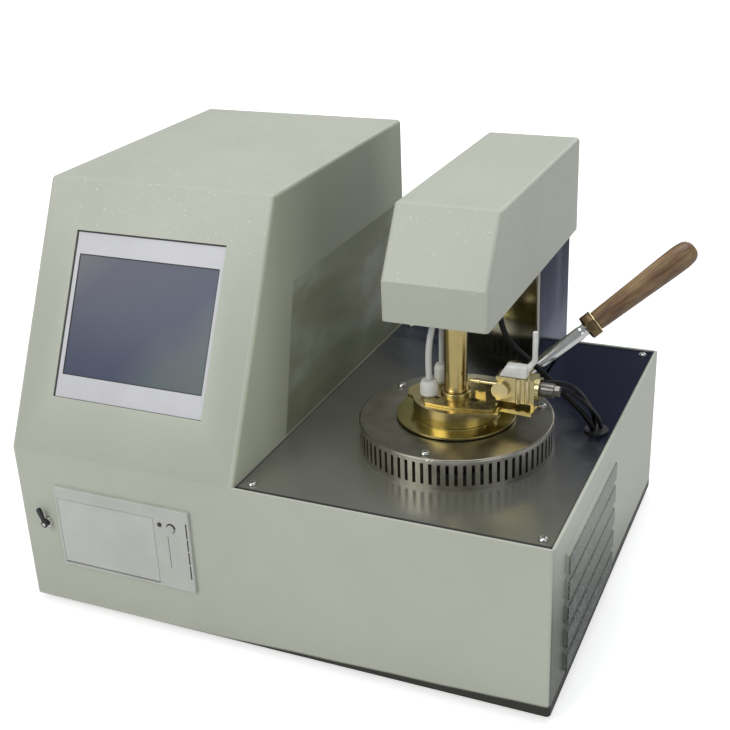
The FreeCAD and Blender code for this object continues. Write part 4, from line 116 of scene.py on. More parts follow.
def make_camera():
    behind = Vector((
        math.sin(CAMERA_AZIMUTH) * math.cos(CAMERA_ELEVATION),
        -math.cos(CAMERA_AZIMUTH) * math.cos(CAMERA_ELEVATION),
        math.sin(CAMERA_ELEVATION),
    ))
    level = Vector((0, 0, 1)).cross(behind).normalized()
    upright = behind.cross(level)
    right = level * math.cos(CAMERA_ROLL) - upright * math.sin(CAMERA_ROLL)
    up = level * math.sin(CAMERA_ROLL) + upright * math.cos(CAMERA_ROLL)
    camera = bpy.data.objects.new("photo_camera", bpy.data.cameras.new("photo_camera"))
    camera.data.lens = LENS
    camera.data.sensor_width = SENSOR
    camera.data.clip_start = NEAR
    camera.data.clip_end = FAR
    turn = Matrix((right, up, behind)).transposed().to_4x4()
    camera.matrix_world = Matrix.Translation(CAMERA_PLACE) @ turn
    scene.collection.objects.link(camera)
    scene.camera = camera


make_camera()


# Studio, in metres and watts

WHITE = (1.0, 1.0, 1.0)
SKY_TINT, SKY_POWER = (0.93, 0.96, 1.0), 0.34
FLOOR_GREY = 0.80
GLOW_NEAR, GLOW_FAR = 0.56, 1.0
FADE_START, FADE_END = 0.6, 2.2
# Name, place, what it is aimed at, size, power, tint
LAMPS = (
    ("key_softbox", (-0.9, -1.7, 1.5), (0.0, 0.0, 0.15), (1.3, 1.1), 19.0, (1.0, 0.99, 0.96)),
    ("top_softbox", (0.1, 0.2, 1.9), (0.0, 0.0, 0.1), (1.4, 1.2), 15.0, WHITE),
    ("right_softbox", (1.7, -0.9, 0.7), (0.1, 0.0, 0.12), (0.9, 1.2), 3.4, (0.95, 0.98, 1.0)),
    ("back_softbox", (0.6, 1.9, 1.2), (0.0, 0.0, 0.15), (1.4, 1.0), 7.0, WHITE),
)


def lamp(name, place, aim, size, power, tint):
    light = bpy.data.lights.new(name, "AREA")
    light.shape = "RECTANGLE"
    light.size, light.size_y = size
    light.energy = power
    light.color = tint
    item = bpy.data.objects.new(name, light)
    way = (Vector(place) - Vector(aim)).normalized()
    item.matrix_world = Matrix.Translation(place) @ way.to_track_quat("Z", "Y").to_matrix().to_4x4()
    scene.collection.objects.link(item)


def make_studio():
    """White to the camera, a dim sky to everything else, four softboxes and a pale floor."""
    world = bpy.data.worlds.new("studio")
    scene.world = world
    world.use_nodes = True
    tree = world.node_tree
    tree.nodes.clear()
    out = tree.nodes.new("ShaderNodeOutputWorld")
    seen = tree.nodes.new("ShaderNodeBackground")
    seen.inputs["Color"].default_value = (*WHITE, 1.0)
    seen.inputs["Strength"].default_value = 1.0
    lit = tree.nodes.new("ShaderNodeBackground")
    lit.inputs["Color"].default_value = (*SKY_TINT, 1.0)
    lit.inputs["Strength"].default_value = SKY_POWER
    ray = tree.nodes.new("ShaderNodeLightPath")
    mix = tree.nodes.new("ShaderNodeMixShader")
    tree.links.new(ray.outputs["Is Camera Ray"], mix.inputs[0])
    tree.links.new(lit.outputs[0], mix.inputs[1])
    tree.links.new(seen.outputs[0], mix.inputs[2])
    tree.links.new(mix.outputs[0], out.inputs[0])

    for setting in LAMPS:
        lamp(*setting)

    bm = bmesh.new()
    bmesh.ops.create_grid(bm, x_segments=1, y_segments=1, size=20.0)
    mesh = bpy.data.meshes.new("studio_floor")
    bm.to_mesh(mesh)
    bm.free()
    floor = bpy.data.objects.new("studio_floor", mesh)
    scene.collection.objects.link(floor)
    mesh.materials.append(floor_paint())


def floor_paint():
    """Matt grey that the camera sees with a glow, which fades to white far away."""
    material = bpy.data.materials.new("pale_floor")
    material.use_nodes = True
    tree = material.node_tree
    tree.nodes.clear()
    out = tree.nodes.new("ShaderNodeOutputMaterial")
    matt = tree.nodes.new("ShaderNodeBsdfDiffuse")
    matt.inputs["Color"].default_value = (FLOOR_GREY, FLOOR_GREY, FLOOR_GREY, 1.0)
    glow = tree.nodes.new("ShaderNodeEmission")
    point = tree.nodes.new("ShaderNodeTexCoord")
    away = tree.nodes.new("ShaderNodeVectorMath")
    away.operation = "LENGTH"
    fade = tree.nodes.new("ShaderNodeMapRange")
    fade.inputs["From Min"].default_value = FADE_START
    fade.inputs["From Max"].default_value = FADE_END
    fade.inputs["To Min"].default_value = GLOW_NEAR
    fade.inputs["To Max"].default_value = GLOW_FAR
    tree.links.new(point.outputs["Object"], away.inputs[0])
    tree.links.new(away.outputs["Value"], fade.inputs["Value"])
    tree.links.new(fade.outputs["Result"], glow.inputs["Strength"])
    ray = tree.nodes.new("ShaderNodeLightPath")
    both = tree.nodes.new("ShaderNodeAddShader")
    mix = tree.nodes.new("ShaderNodeMixShader")
    tree.links.new(ray.outputs["Is Camera Ray"], mix.inputs[0])
    tree.links.new(matt.outputs[0], both.inputs[0])
    tree.links.new(glow.outputs[0], both.inputs[1])
    tree.links.new(matt.outputs[0], mix.inputs[1])
    tree.links.new(both.outputs[0], mix.inputs[2])
    tree.links.new(mix.outputs[0], out.inputs[0])
    return material


# Materials: small pieces of node tree that the finishes share

class Finish:
    """One procedural material: a shader and patterns on Object coordinates, in metres."""

    def __init__(self, name, colour, metallic=0.0, roughness=0.5, specular=0.5, coat=0.0):
        self.material = bpy.data.materials.new(name)
        self.material.use_nodes = True
        self.tree = self.material.node_tree
        self.shader = self.tree.nodes["Principled BSDF"]
        self.colour = colour
        self.shader.inputs["Base Color"].default_value = (*colour, 1.0)
        self.shader.inputs["Metallic"].default_value = metallic
        self.shader.inputs["Roughness"].default_value = roughness
        self.shader.inputs["Specular IOR Level"].default_value = specular
        self.shader.inputs["Coat Weight"].default_value = coat
        self.shader.inputs["Coat Roughness"].default_value = 0.12
        self.normal = None

    def node(self, kind, **values):
        made = self.tree.nodes.new(kind)
        for name, value in values.items():
            made.inputs[name].default_value = value
        return made

    def join(self, source, target):
        self.tree.links.new(source, target)

    def place(self, scale=(1.0, 1.0, 1.0), centre=(0.0, 0.0, 0.0), turn=(0.0, 0.0, 0.0)):
        """Object coordinates, moved to a centre, turned and then stretched."""
        point = self.node("ShaderNodeTexCoord").outputs["Object"]
        moved = self.node("ShaderNodeMapping")
        moved.vector_type = "TEXTURE"
        moved.inputs["Location"].default_value = centre
        moved.inputs["Rotation"].default_value = turn
        self.join(point, moved.inputs["Vector"])
        stretched = self.node("ShaderNodeMapping")
        stretched.inputs["Scale"].default_value = scale
        self.join(moved.outputs[0], stretched.inputs["Vector"])
        return stretched.outputs[0]

    def noise(self, point, scale, detail=3.0, rough=0.55, twist=0.0):
        made = self.node("ShaderNodeTexNoise", Scale=scale, Detail=detail, Roughness=rough,
                         Distortion=twist)
        self.join(point, made.inputs["Vector"])
        return made.outputs["Fac"]

    def rings(self, point, scale, twist=0.0):
        made = self.node("ShaderNodeTexWave", Scale=scale, Distortion=twist)
        made.wave_type = "RINGS"
        made.rings_direction = "Z"
        self.join(point, made.inputs["Vector"])
        return made.outputs["Fac"]

    def ramp(self, value, stops):
        made = self.node("ShaderNodeValToRGB")
        self.join(value, made.inputs["Fac"])
        band = made.color_ramp
        while len(band.elements) < len(stops):
            band.elements.new(0.5)
        for element, (place, tone) in zip(band.elements, stops):
            element.position = place
            element.color = (*tone, 1.0) if hasattr(tone, "__len__") else (tone, tone, tone, 1.0)
        return made.outputs["Color"]

    def slant(self, way, centre):
        """A value of 0.5 at a centre that grows along a way, by the way's own length per metre."""
        made = self.node("ShaderNodeVectorMath")
        made.operation = "DOT_PRODUCT"
        self.join(self.place(centre=centre), made.inputs[0])
        made.inputs[1].default_value = way
        return self.total(made.outputs["Value"], None, 0.5)

    def past(self, way, centre, high=0.7, full=1.0):
        """A mask that grows from nothing to a full share across a place."""
        return self.ramp(self.slant(way, centre), [(0.3, 0.0), (high, full)])

    def total(self, first, second, weight):
        """The first value plus a weight of the second, or plus the weight alone."""
        made = self.node("ShaderNodeMath")
        made.operation = "MULTIPLY_ADD"
        made.inputs[0].default_value = 1.0
        made.inputs[1].default_value = weight
        if second is not None:
            self.join(second, made.inputs[0])
        self.join(first, made.inputs[2])
        return made.outputs[0]

    def times(self, first, second):
        made = self.node("ShaderNodeMath")
        made.operation = "MULTIPLY"
        self.join(first, made.inputs[0])
        self.join(second, made.inputs[1])
        return made.outputs[0]

    def tint(self, value, dark, light):
        """Base colour that runs from a darker to a lighter share of its own colour."""
        tones = shares(self.colour, dark, light)
        self.paint(self.ramp(value, [(0.3, tones[0]), (0.7, tones[1])]))

    def paint(self, colour):
        self.join(colour, self.shader.inputs["Base Color"])

    def gloss(self, value, low, high):
        """Roughness that runs between two values with a pattern."""
        made = self.node("ShaderNodeMapRange")
        self.join(value, made.inputs["Value"])
        made.inputs["To Min"].default_value = low
        made.inputs["To Max"].default_value = high
        self.join(made.outputs["Result"], self.shader.inputs["Roughness"])

    def bump(self, value, strength, depth):
        made = self.node("ShaderNodeBump", Strength=strength, Distance=depth)
        self.join(value, made.inputs["Height"])
        if self.normal is not None:
            self.join(self.normal, made.inputs["Normal"])
        self.normal = made.outputs["Normal"]
        self.join(self.normal, self.shader.inputs["Normal"])

    def blend(self, first, second, share):
        made = self.node("ShaderNodeMix")
        made.data_type = "RGBA"
        if hasattr(share, "default_value") or hasattr(share, "is_linked"):
            self.join(share, made.inputs[0])
        else:
            made.inputs[0].default_value = share
        for source, socket in ((first, made.inputs[6]), (second, made.inputs[7])):
            if hasattr(source, "is_linked"):
                self.join(source, socket)
            else:
                socket.default_value = (*source, 1.0)
        return made.outputs[2]


def shares(colour, *parts):
    """One colour at several strengths."""
    return [tuple(tone * part for tone in colour) for part in parts]


PAINT = (0.52, 0.54, 0.46)
# Base of the painted shade on the tower's side
SHADED_PAINT = (0.52, 0.55, 0.43)
# Colour of the painted shadow along the front foot
FOOT_SHADOW = (0.018, 0.019, 0.013)
# Colour of the painted glints on the paint
PAINTED_GLINT = (0.86, 0.88, 0.84)
PAINT_GRAIN, PAINT_DEPTH = 520.0, 0.00016


def textured_paint(name, colour, housing=False):
    """Powder coat with a fine pebbled skin and small bright flecks, painted glints that grow stronger up
    high where the light falls.
    """
    made = Finish(name, colour, roughness=0.42, specular=0.32)
    point = made.place()
    cloud = made.noise(point, 7.0, 5.0, 0.65)
    low, high = shares(colour, 0.94, 1.04)
    skin = made.ramp(cloud, [(0.3, low), (0.7, high)])
    # Painted glints: bright flecks, faint low down and full up high
    glint_spots = made.ramp(made.noise(point, PAINT_GRAIN, 2.0, 0.5), [(0.66, 0.0), (0.72, 0.5)])
    glint_height = (0.0, 0.0, 0.262)
    glint_with_height = made.ramp(made.slant((0.0, 0.0, 9.0), glint_height), [(0.25, 0.08), (0.75, 1.0)])
    skin = made.blend(skin, PAINTED_GLINT, made.times(glint_spots, glint_with_height))
    if housing:
        # The housing's paint also carries painted shade, shadow and reflection on its sides and along its
        # front foot
        skin = flank_shade(made, side_shade(made, skin, cloud), cloud)
    made.paint(skin)
    made.bump(made.noise(point, PAINT_GRAIN, 2.0, 0.5), 0.6, PAINT_DEPTH)
    made.bump(made.noise(point, PAINT_GRAIN * 0.35, 2.0), 0.35, PAINT_DEPTH)
    made.gloss(made.noise(point, PAINT_GRAIN * 0.7), 0.30, 0.52)
    return made.material


def side_shade(made, skin, cloud):
    """The tower's side, with painted shade: darker to the rear, and a smeared dark patch beside the lifting
    head, painted as the head's shadow and reflection.
    """
    side_middle, tower_side, deck_line = (0.0, 0.030, 0.0), (-0.0192, 0.0, 0.0), (0.0, 0.0, 0.1315)
    head_shade_top, head_shade_front = (0.0, 0.0, 0.240), (0.0, -0.049, 0.241)
    # Painted shade: lighter at the front of the side and darker to the rear
    along_side = made.total(made.slant((0.0, 4.0, 0.0), side_middle), cloud, 0.12)
    tones = shares(SHADED_PAINT, 1.04, 0.77, 0.58, 0.58, 0.78)
    upper = made.ramp(along_side, list(zip((0.02, 0.18, 0.42, 0.80, 1.0), tones)))
    # Painted shade and reflection of the lifting head: a dark olive patch below it, broken up by a cloud
    shade_cloud = made.noise(made.place(scale=(1.0, 0.7, 1.4)), 14.0, 3.0, 0.55, 0.4)
    lower = made.ramp(shade_cloud, [(0.35, (0.200, 0.215, 0.140)), (0.52, (0.245, 0.260, 0.185)),
                              (0.70, (0.36, 0.38, 0.325))])
    under = made.past((0.0, 0.0, -260.0), head_shade_top)
    behind = made.past((0.0, 150.0, -37.0), head_shade_front)
    head_shade = made.times(under, behind)
    side = made.blend(upper, lower, head_shade)
    on_side = made.ramp(made.slant((150.0, 0.0, 0.0), tower_side),
                        [(0.30, 0.0), (0.40, 1.0), (0.60, 1.0), (0.70, 0.0)])
    above = made.past((0.0, 0.0, 300.0), deck_line)
    at_side = made.times(on_side, above)
    skin = made.blend(skin, side, at_side)
    calm = made.times(at_side, made.ramp(head_shade, [(0.0, 0.55), (1.0, 1.0)]))
    made.join(made.ramp(calm, [(0.0, 0.32), (1.0, 0.10)]), made.shader.inputs["Specular IOR Level"])
    return skin


def flank_shade(made, skin, cloud):
    """Painted shade on the right side, darker towards its low front, a painted dark reflection mottled on
    its hoods, and a painted dark shadow along the front foot.
    """
    right_side, hood_face = (0.1992, 0.0, 0.0), (0.2021, 0.0, 0.0)
    right_shade_start, foot_start = (0.0, -0.062, 0.060), (0.075, 0.0, 0.0105)
    # Painted shade: the right side darkens towards its low front
    low_front = made.total(made.slant((0.0, -5.5, -11.0), right_shade_start), cloud, 0.15)
    right_side_shades = shares(PAINT, 1.12, 0.80, 0.34)
    flank = made.ramp(low_front, list(zip((0.15, 0.50, 0.95), right_side_shades)))
    skin = made.blend(skin, flank, made.past((900.0, 0.0, 0.0), right_side))
    # Painted reflection: dark mottling on the louvre hoods
    hood_reflection = made.ramp(made.noise(made.place(), 430.0, 3.0, 0.6),
                       [(0.36, (0.045, 0.052, 0.045)), (0.52, (0.095, 0.106, 0.095)),
                        (0.66, (0.24, 0.255, 0.23))])
    reflection_on_hoods = made.past((900.0, 0.0, 0.0), hood_face, full=0.92)
    reflection_on_hoods = made.times(reflection_on_hoods, made.ramp(low_front, [(0.15, 0.64), (0.80, 1.0)]))
    skin = made.blend(skin, hood_reflection, reflection_on_hoods)

    # Painted shadow: a dark band along the front foot, where the housing stands above the floor
    foot = made.total(made.slant((9.0, 0.0, -330.0), foot_start), cloud, 1.2)
    foot = made.ramp(made.total(foot, None, -0.6), [(0.35, 0.0), (0.9, 0.96)])
    return made.blend(skin, FOOT_SHADOW, foot)


def deck_sheet():
    """Polished dark sheet, smeared, with a painted reflection: paler at the front and blue-black towards
    the right rear.
    """
    made = Finish("polished_deck", (0.3, 0.3, 0.28), metallic=0.55, specular=0.2)
    made.shader.inputs["Specular Tint"].default_value = (0.45, 0.46, 0.52, 1.0)
    smears_and_reflection = made.noise(made.place(scale=(1.0, 1.8, 1.0)), 9.0, 5.0, 0.62, 0.9)
    deck_middle = (0.085, -0.020, 0.0)
    place = made.total(made.slant((2.6, 3.3, 0.0), deck_middle), smears_and_reflection, 0.4)
    place = made.total(place, None, -0.2)
    # Painted reflection: pale at the front, darkening to blue-black at the right rear
    made.paint(made.ramp(place, [(0.10, (0.25, 0.25, 0.215)), (0.30, (0.205, 0.205, 0.165)),
                                 (0.52, (0.175, 0.178, 0.158)), (0.70, (0.110, 0.114, 0.118)),
                                 (0.84, (0.012, 0.014, 0.034))]))
    made.gloss(smears_and_reflection, 0.15, 0.34)
    rubbed = made.place(scale=(2.2, 1.0, 1.0), turn=(0.0, 0.0, math.radians(-52.0)))
    rubs = made.noise(rubbed, 26.0, 2.0, 0.5, 1.6)
    made.bump(rubs, 0.12, 0.0006)
    return made.material


def column_sheet():
    """Polished sheet with a painted reflection: a blue-black side, paler towards its foot and at its
    corner, and a painted highlight streak.
    """
    made = Finish("polished_column", (0.36, 0.37, 0.36), metallic=1.0)
    made.shader.inputs["Specular Tint"].default_value = (0.50, 0.51, 0.56, 1.0)
    grain = made.noise(made.place(scale=(1.0, 3.0, 0.6)), 24.0, 4.0, 0.6)
    half_height, highlight_line, side_face = (0.0, 0.0, 0.186), (0.0, 0.118, 0.0), (0.1265, 0.0, 0.0)
    # Painted reflection: the side runs from pale at its foot to blue-black up high
    rise = made.total(made.slant((0.0, 0.0, 11.0), half_height), grain, 0.3)
    side = made.ramp(rise, [(0.30, (0.30, 0.31, 0.34)), (0.55, (0.10, 0.105, 0.13)),
                            (0.85, (0.030, 0.032, 0.045)), (1.0, (0.016, 0.017, 0.022))])
    # Painted highlight: a pale streak along the side
    highlight_streak = made.ramp(made.slant((0.0, 22.0, 0.0), highlight_line), [(0.25, 0.0), (0.5, 0.30), (0.75, 0.0)])
    side = made.blend(side, (0.30, 0.31, 0.36), highlight_streak)
    front = made.ramp(grain, [(0.3, (0.30, 0.30, 0.26)), (0.7, (0.40, 0.39, 0.34))])
    flank = made.past((1500.0, 0.0, 0.0), side_face, high=0.8)
    made.paint(made.blend(front, side, flank))
    made.gloss(grain, 0.09, 0.17)
    return made.material


def ceramic():
    """Glazed white clay with faint grey wear."""
    made = Finish("worn_ceramic", (0.80, 0.80, 0.77), roughness=0.3)
    worn = made.noise(made.place(), 130.0, 3.0, 0.6)
    made.tint(worn, 0.78, 1.05)
    made.gloss(worn, 0.22, 0.42)
    return made.material


def guard_metal():
    """Rolled stainless steel with painted light: a darker turned top in painted shade and a brighter band
    round the side as a painted highlight.
    """
    made = Finish("guard_steel", (0.5, 0.48, 0.44), metallic=1.0)
    point = made.place(centre=CUP_AXIS * MM)
    stain = made.noise(point, 60.0, 4.0, 0.6)
    upper_edge = (0.0, 0.0, 0.1512)
    height = made.slant((0.0, 0.0, 700.0), upper_edge)
    # Painted shade on the top and a painted highlight on the band round the side
    top = made.ramp(stain, [(0.3, (0.22, 0.21, 0.17)), (0.7, (0.32, 0.305, 0.25))])
    band = made.ramp(stain, [(0.3, (0.46, 0.44, 0.39)), (0.7, (0.70, 0.68, 0.61))])
    made.paint(made.blend(band, top, made.ramp(height, [(0.35, 0.0), (0.65, 1.0)])))
    made.gloss(stain, 0.24, 0.38)
    made.bump(made.rings(point, 900.0, 0.6), 0.12, 0.00003)
    return made.material


def turned_metal(name, colour, centre, rough, lines=1500.0, shade=0.08):
    """Lathe-turned metal: fine rings round an upright axis and faint stains."""
    made = Finish(name, colour, metallic=1.0)
    point = made.place(centre=centre)
    cut = made.rings(point, lines, 0.6)
    stain = made.noise(point, 60.0, 4.0, 0.6)
    made.tint(stain, 1.0 - shade, 1.0 + shade * 0.5)
    made.gloss(stain, rough[0], rough[1])
    made.bump(cut, 0.12, 0.00003)
    return made.material


def plain_metal(name, colour, rough, scale=180.0, shade=0.06):
    """Metal with a faint even grain."""
    made = Finish(name, colour, metallic=1.0)
    point = made.place()
    grain = made.noise(point, scale, 4.0, 0.6)
    made.tint(grain, 1.0 - shade, 1.0 + shade)
    made.gloss(grain, rough[0], rough[1])
    made.bump(made.noise(point, scale * 8.0), 0.08, 0.00003)
    return made.material


def moulded(name, colour, rough, scale=900.0, depth=0.00005, shade=0.04, coat=0.0, specular=0.5):
    """Moulded plastic, rubber or ceramic with a fine skin."""
    made = Finish(name, colour, coat=coat, specular=specular)
    point = made.place()
    skin = made.noise(point, scale, 3.0)
    made.tint(made.noise(point, 28.0, 3.0), 1.0 - shade, 1.0 + shade)
    made.gloss(skin, rough[0], rough[1])
    made.bump(skin, 0.3, depth)
    return made.material


def handle_wood():
    """Streaky varnished hardwood, its grain along the handle."""
    made = Finish("streaked_hardwood", (0.17, 0.085, 0.04), roughness=0.42, coat=0.08)
    turn = HANDLE_WAY.to_track_quat("Z", "Y").to_euler()
    start = HANDLE_START * MM
    point = made.place(scale=(1.0, 1.0, 0.06), centre=start, turn=turn)
    broad = made.noise(point, 150.0, 5.0, 0.65, 1.2)
    fine = made.noise(point, 900.0, 3.0, 0.6)
    bands = made.ramp(broad, [(0.30, (0.034, 0.018, 0.010)), (0.44, (0.125, 0.062, 0.028)),
                              (0.56, (0.25, 0.145, 0.066)), (0.72, (0.42, 0.28, 0.145))])
    pores = made.ramp(fine, [(0.36, (0.30, 0.26, 0.22)), (0.50, (1.0, 1.0, 1.0))])
    mix = made.node("ShaderNodeMix")
    mix.data_type = "RGBA"
    mix.blend_type = "MULTIPLY"
    mix.inputs[0].default_value = 0.7
    made.join(bands, mix.inputs[6])
    made.join(pores, mix.inputs[7])
    blotches = made.noise(made.place(scale=(1.0, 1.0, 0.4), centre=start, turn=turn), 75.0, 3.0, 0.6)
    stained = made.ramp(blotches, [(0.38, (0.12, 0.050, 0.026)), (0.60, (0.34, 0.24, 0.115))])
    made.paint(made.blend(mix.outputs[2], stained, 0.42))
    made.gloss(broad, 0.3, 0.5)
    made.bump(fine, 0.3, 0.00012)
    return made.material


def display_panel():
    """The liquid crystal panel, off: slate blue with a soft cloudy painted sheen."""
    made = Finish("display_panel", (0.10, 0.11, 0.14), roughness=0.18, specular=0.22)
    cloud = made.noise(made.place(scale=(1.0, 1.0, 1.4)), 9.0, 2.0, 0.45, 0.3)
    panel_middle = (-0.109, -0.1, 0.214)
    across = made.total(made.slant((4.6, 0.0, -5.4), panel_middle), cloud, 0.35)
    across = made.total(across, None, -0.175)
    # Painted reflection: paler at both ends, darker across the middle
    made.paint(made.ramp(across, [(0.02, (0.150, 0.152, 0.170)), (0.20, (0.088, 0.096, 0.140)),
                                  (0.56, (0.074, 0.086, 0.138)), (0.74, (0.115, 0.140, 0.155)),
                                  (0.98, (0.140, 0.165, 0.160))]))
    return made.material


FINISHES = {
    "housing_paint": textured_paint("pebbled_paint", PAINT, housing=True),
    "head_paint": textured_paint("head_pebbled_paint", PAINT),
    "rear_paint": textured_paint("rear_pebbled_paint", (0.46, 0.48, 0.42)),
    "pan_paint": textured_paint("pan_paint", (0.38, 0.40, 0.36)),
    "black_rubber": moulded("black_rubber", (0.018, 0.018, 0.018), (0.55, 0.7), 1400.0),
    "deck_steel": deck_sheet(),
    "screw_steel": plain_metal("screw_nickel", (0.62, 0.62, 0.60), (0.18, 0.3), 500.0),
    "bezel_white": moulded("white_screen_frame", (0.60, 0.60, 0.63), (0.3, 0.42), 700.0),
    "display_glass": display_panel(),
    "printer_plastic": moulded("printer_grey", (0.53, 0.54, 0.50), (0.34, 0.48), 600.0, shade=0.06),
    "door_plastic": moulded("printer_door_grey", (0.55, 0.56, 0.53), (0.34, 0.48), 600.0, shade=0.06),
    "roller_rubber": moulded("roller_rubber", (0.05, 0.05, 0.05), (0.6, 0.75), 900.0),
    "paper": moulded("paper_roll_white", (0.85, 0.85, 0.82), (0.7, 0.85), 1500.0),
    "button_plastic": moulded("button_grey", (0.50, 0.51, 0.48), (0.35, 0.5), 900.0),
    "lamp_lens": moulded("lamp_lens_dark", (0.012, 0.012, 0.014), (0.1, 0.2), 400.0, coat=0.5),
    "valve_chrome": plain_metal("valve_chrome", (0.70, 0.70, 0.69), (0.08, 0.16), 400.0),
    "lever_plastic": moulded("lever_black", (0.012, 0.012, 0.013), (0.2, 0.32), 900.0, coat=0.3),
    "guard_steel": guard_metal(),
    "bath_metal": turned_metal("bath_metal", (0.42, 0.42, 0.41), CUP_AXIS * MM, (0.3, 0.4)),
    "heater_metal": plain_metal("heater_metal", (0.30, 0.29, 0.28), (0.35, 0.5)),
    "insulation": moulded("mineral_wool", (0.60, 0.57, 0.50), (0.85, 0.95), 500.0, 0.0006, 0.15),
    "cup_brass": turned_metal("cup_brass", (0.50, 0.425, 0.17), CUP_AXIS * MM, (0.16, 0.28), 1100.0, 0.16),
    "cover_brass": plain_metal("cover_brass", (0.52, 0.43, 0.20), (0.16, 0.3), 120.0, 0.14),
    "sleeve_brass": plain_metal("sleeve_brass", (0.53, 0.41, 0.175), (0.14, 0.24), 90.0, 0.1),
    "gear_brass": plain_metal("gear_brass", (0.60, 0.42, 0.16), (0.25, 0.35)),
    "igniter_brass": plain_metal("igniter_brass", (0.60, 0.52, 0.29), (0.22, 0.32), 45.0, 0.1),
    "nozzle_metal": plain_metal("nozzle_brass", (0.72, 0.62, 0.36), (0.24, 0.34), 60.0, 0.08),
    "barb_brass": plain_metal("barb_brass", (0.60, 0.43, 0.17), (0.22, 0.34)),
    "nut_brass": plain_metal("nut_brass", (0.58, 0.42, 0.18), (0.3, 0.4)),
    "handle_chrome": plain_metal("handle_chrome", (0.68, 0.68, 0.67), (0.12, 0.22), 150.0),
    "ferrule_bronze": plain_metal("ferrule_bronze", (0.16, 0.115, 0.06), (0.25, 0.4), 200.0, 0.2),
    "grip_wood": handle_wood(),
    "shutter_metal": plain_metal("shutter_brass", (0.52, 0.43, 0.20), (0.2, 0.34), 160.0, 0.16),
    "motor_can": plain_metal("motor_can", (0.40, 0.40, 0.40), (0.3, 0.42)),
    "stirrer_steel": plain_metal("stirrer_steel", (0.55, 0.55, 0.54), (0.16, 0.26)),
    "bracket_steel": plain_metal("zinc_bracket", (0.50, 0.50, 0.49), (0.3, 0.45)),
    "ceramic_white": ceramic(),
    "fitting_chrome": plain_metal("fitting_nickel", (0.17, 0.165, 0.15), (0.2, 0.32), 300.0),
    "probe_steel": plain_metal("probe_steel", (0.52, 0.52, 0.52), (0.16, 0.26)),
    "plug_white": moulded("white_plug", (0.78, 0.78, 0.74), (0.3, 0.45), 500.0),
    "lead_white": moulded("white_lead", (0.66, 0.67, 0.65), (0.35, 0.5), 900.0),
    "column_steel": column_sheet(),
    "carriage_metal": plain_metal("carriage_metal", (0.50, 0.50, 0.50), (0.3, 0.4)),
    "bushing_steel": plain_metal("ground_steel", (0.45, 0.45, 0.45), (0.2, 0.3)),
    "screw_shaft": turned_metal("lead_screw_steel", (0.40, 0.40, 0.40), LEAD_SCREW_AXIS * MM,
                                (0.25, 0.35)),
    "motor_black": moulded("motor_black", (0.02, 0.02, 0.02), (0.4, 0.55)),
    "cable_black": moulded("black_cable", (0.007, 0.007, 0.008), (0.35, 0.5), 700.0, specular=0.2),
    "fan_plastic": moulded("fan_black", (0.015, 0.015, 0.015), (0.45, 0.6)),
    "inlet_plastic": moulded("inlet_black", (0.02, 0.02, 0.02), (0.35, 0.5)),
    "board_green": moulded("board_green", (0.02, 0.12, 0.05), (0.35, 0.5)),
    "supply_metal": plain_metal("supply_metal", (0.48, 0.48, 0.48), (0.35, 0.5)),
}
SLOT_OF = {part["node"]: part["material_slot"] for part in frame["record"]["subparts"]}
BODY_OF = {node: body for body, members in frame["record"]["behaviour"]["bodies"].items()
           for node in members}

for name, item in nodes.items():
    item.data.materials.clear()
    item.data.materials.append(FINISHES[SLOT_OF[name]])


# Pieces

def soften(bm, width, segments, edges=None):
    """Bevels the given edges, or else every edge sharper than 30 degrees."""
    if edges is None:
        edges = [edge for edge in bm.edges if edge.calc_face_angle(0.0) > math.radians(30.0)]
    bmesh.ops.bevel(bm, geom=edges, offset=width, offset_type="OFFSET", segments=segments, profile=0.5,
                    affect="EDGES", clamp_overlap=True, material=-1)


def add_piece(name, bm, slot):
    """Turns a bmesh in metres into an object with the finish of its slot."""
    mesh = bpy.data.meshes.new(name)
    bm.to_mesh(mesh)
    bm.free()
    piece = bpy.data.objects.new(name, mesh)
    scene.collection.objects.link(piece)
    mesh.materials.append(FINISHES[slot])
    return piece


def finish_piece(name, bm, like, smooth=32.0, replaced=(), slot=None, outward=True):
    """Makes a piece that rides with a node's body, smooth below an angle between its faces."""
    if outward:
        bmesh.ops.recalc_face_normals(bm, faces=bm.faces)
    for face in bm.faces:
        face.smooth = True
    for edge in bm.edges:
        edge.smooth = edge.calc_face_angle(0.0) < math.radians(smooth)
    slot = slot or SLOT_OF[like]
    piece = add_piece(name, bm, slot)
    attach(piece, BODY_OF[like])
    if replaced:
        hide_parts(*replaced)
    return piece


def dressed(node, width, segments=2):
    """A node's own shape with its edges joined, softened and smoothly shaded."""
    bm = bmesh.new()
    bm.from_mesh(nodes[node].data)
    bmesh.ops.remove_doubles(bm, verts=bm.verts, dist=0.000002)
    bmesh.ops.dissolve_limit(bm, angle_limit=math.radians(0.4), verts=bm.verts, edges=bm.edges)
    soften(bm, width * MM, segments)
    piece = finish_piece(node + "_dressed", bm, node, replaced=(node,), outward=False)
    even = piece.modifiers.new("even_shading", "WEIGHTED_NORMAL")
    even.keep_sharp = True
    even.weight = 100


def spun(profile, steps, place):
    """A closed shape turned round its own z axis from (radius, height) points, in millimetres."""
    bm = bmesh.new()
    points = [bm.verts.new((radius, 0.0, height)) for radius, height in profile]
    lines = [bm.edges.new(pair) for pair in zip(points, points[1:])]
    bmesh.ops.spin(bm, geom=points + lines, cent=(0, 0, 0), axis=(0, 0, 1), angle=math.tau, steps=steps,
                   use_merge=True, use_normal_flip=False, use_duplicate=False)
    bmesh.ops.remove_doubles(bm, verts=bm.verts, dist=0.0005)
    bmesh.ops.recalc_face_normals(bm, faces=bm.faces)
    bmesh.ops.transform(bm, matrix=TO_METRES @ place, verts=bm.verts)
    return bm


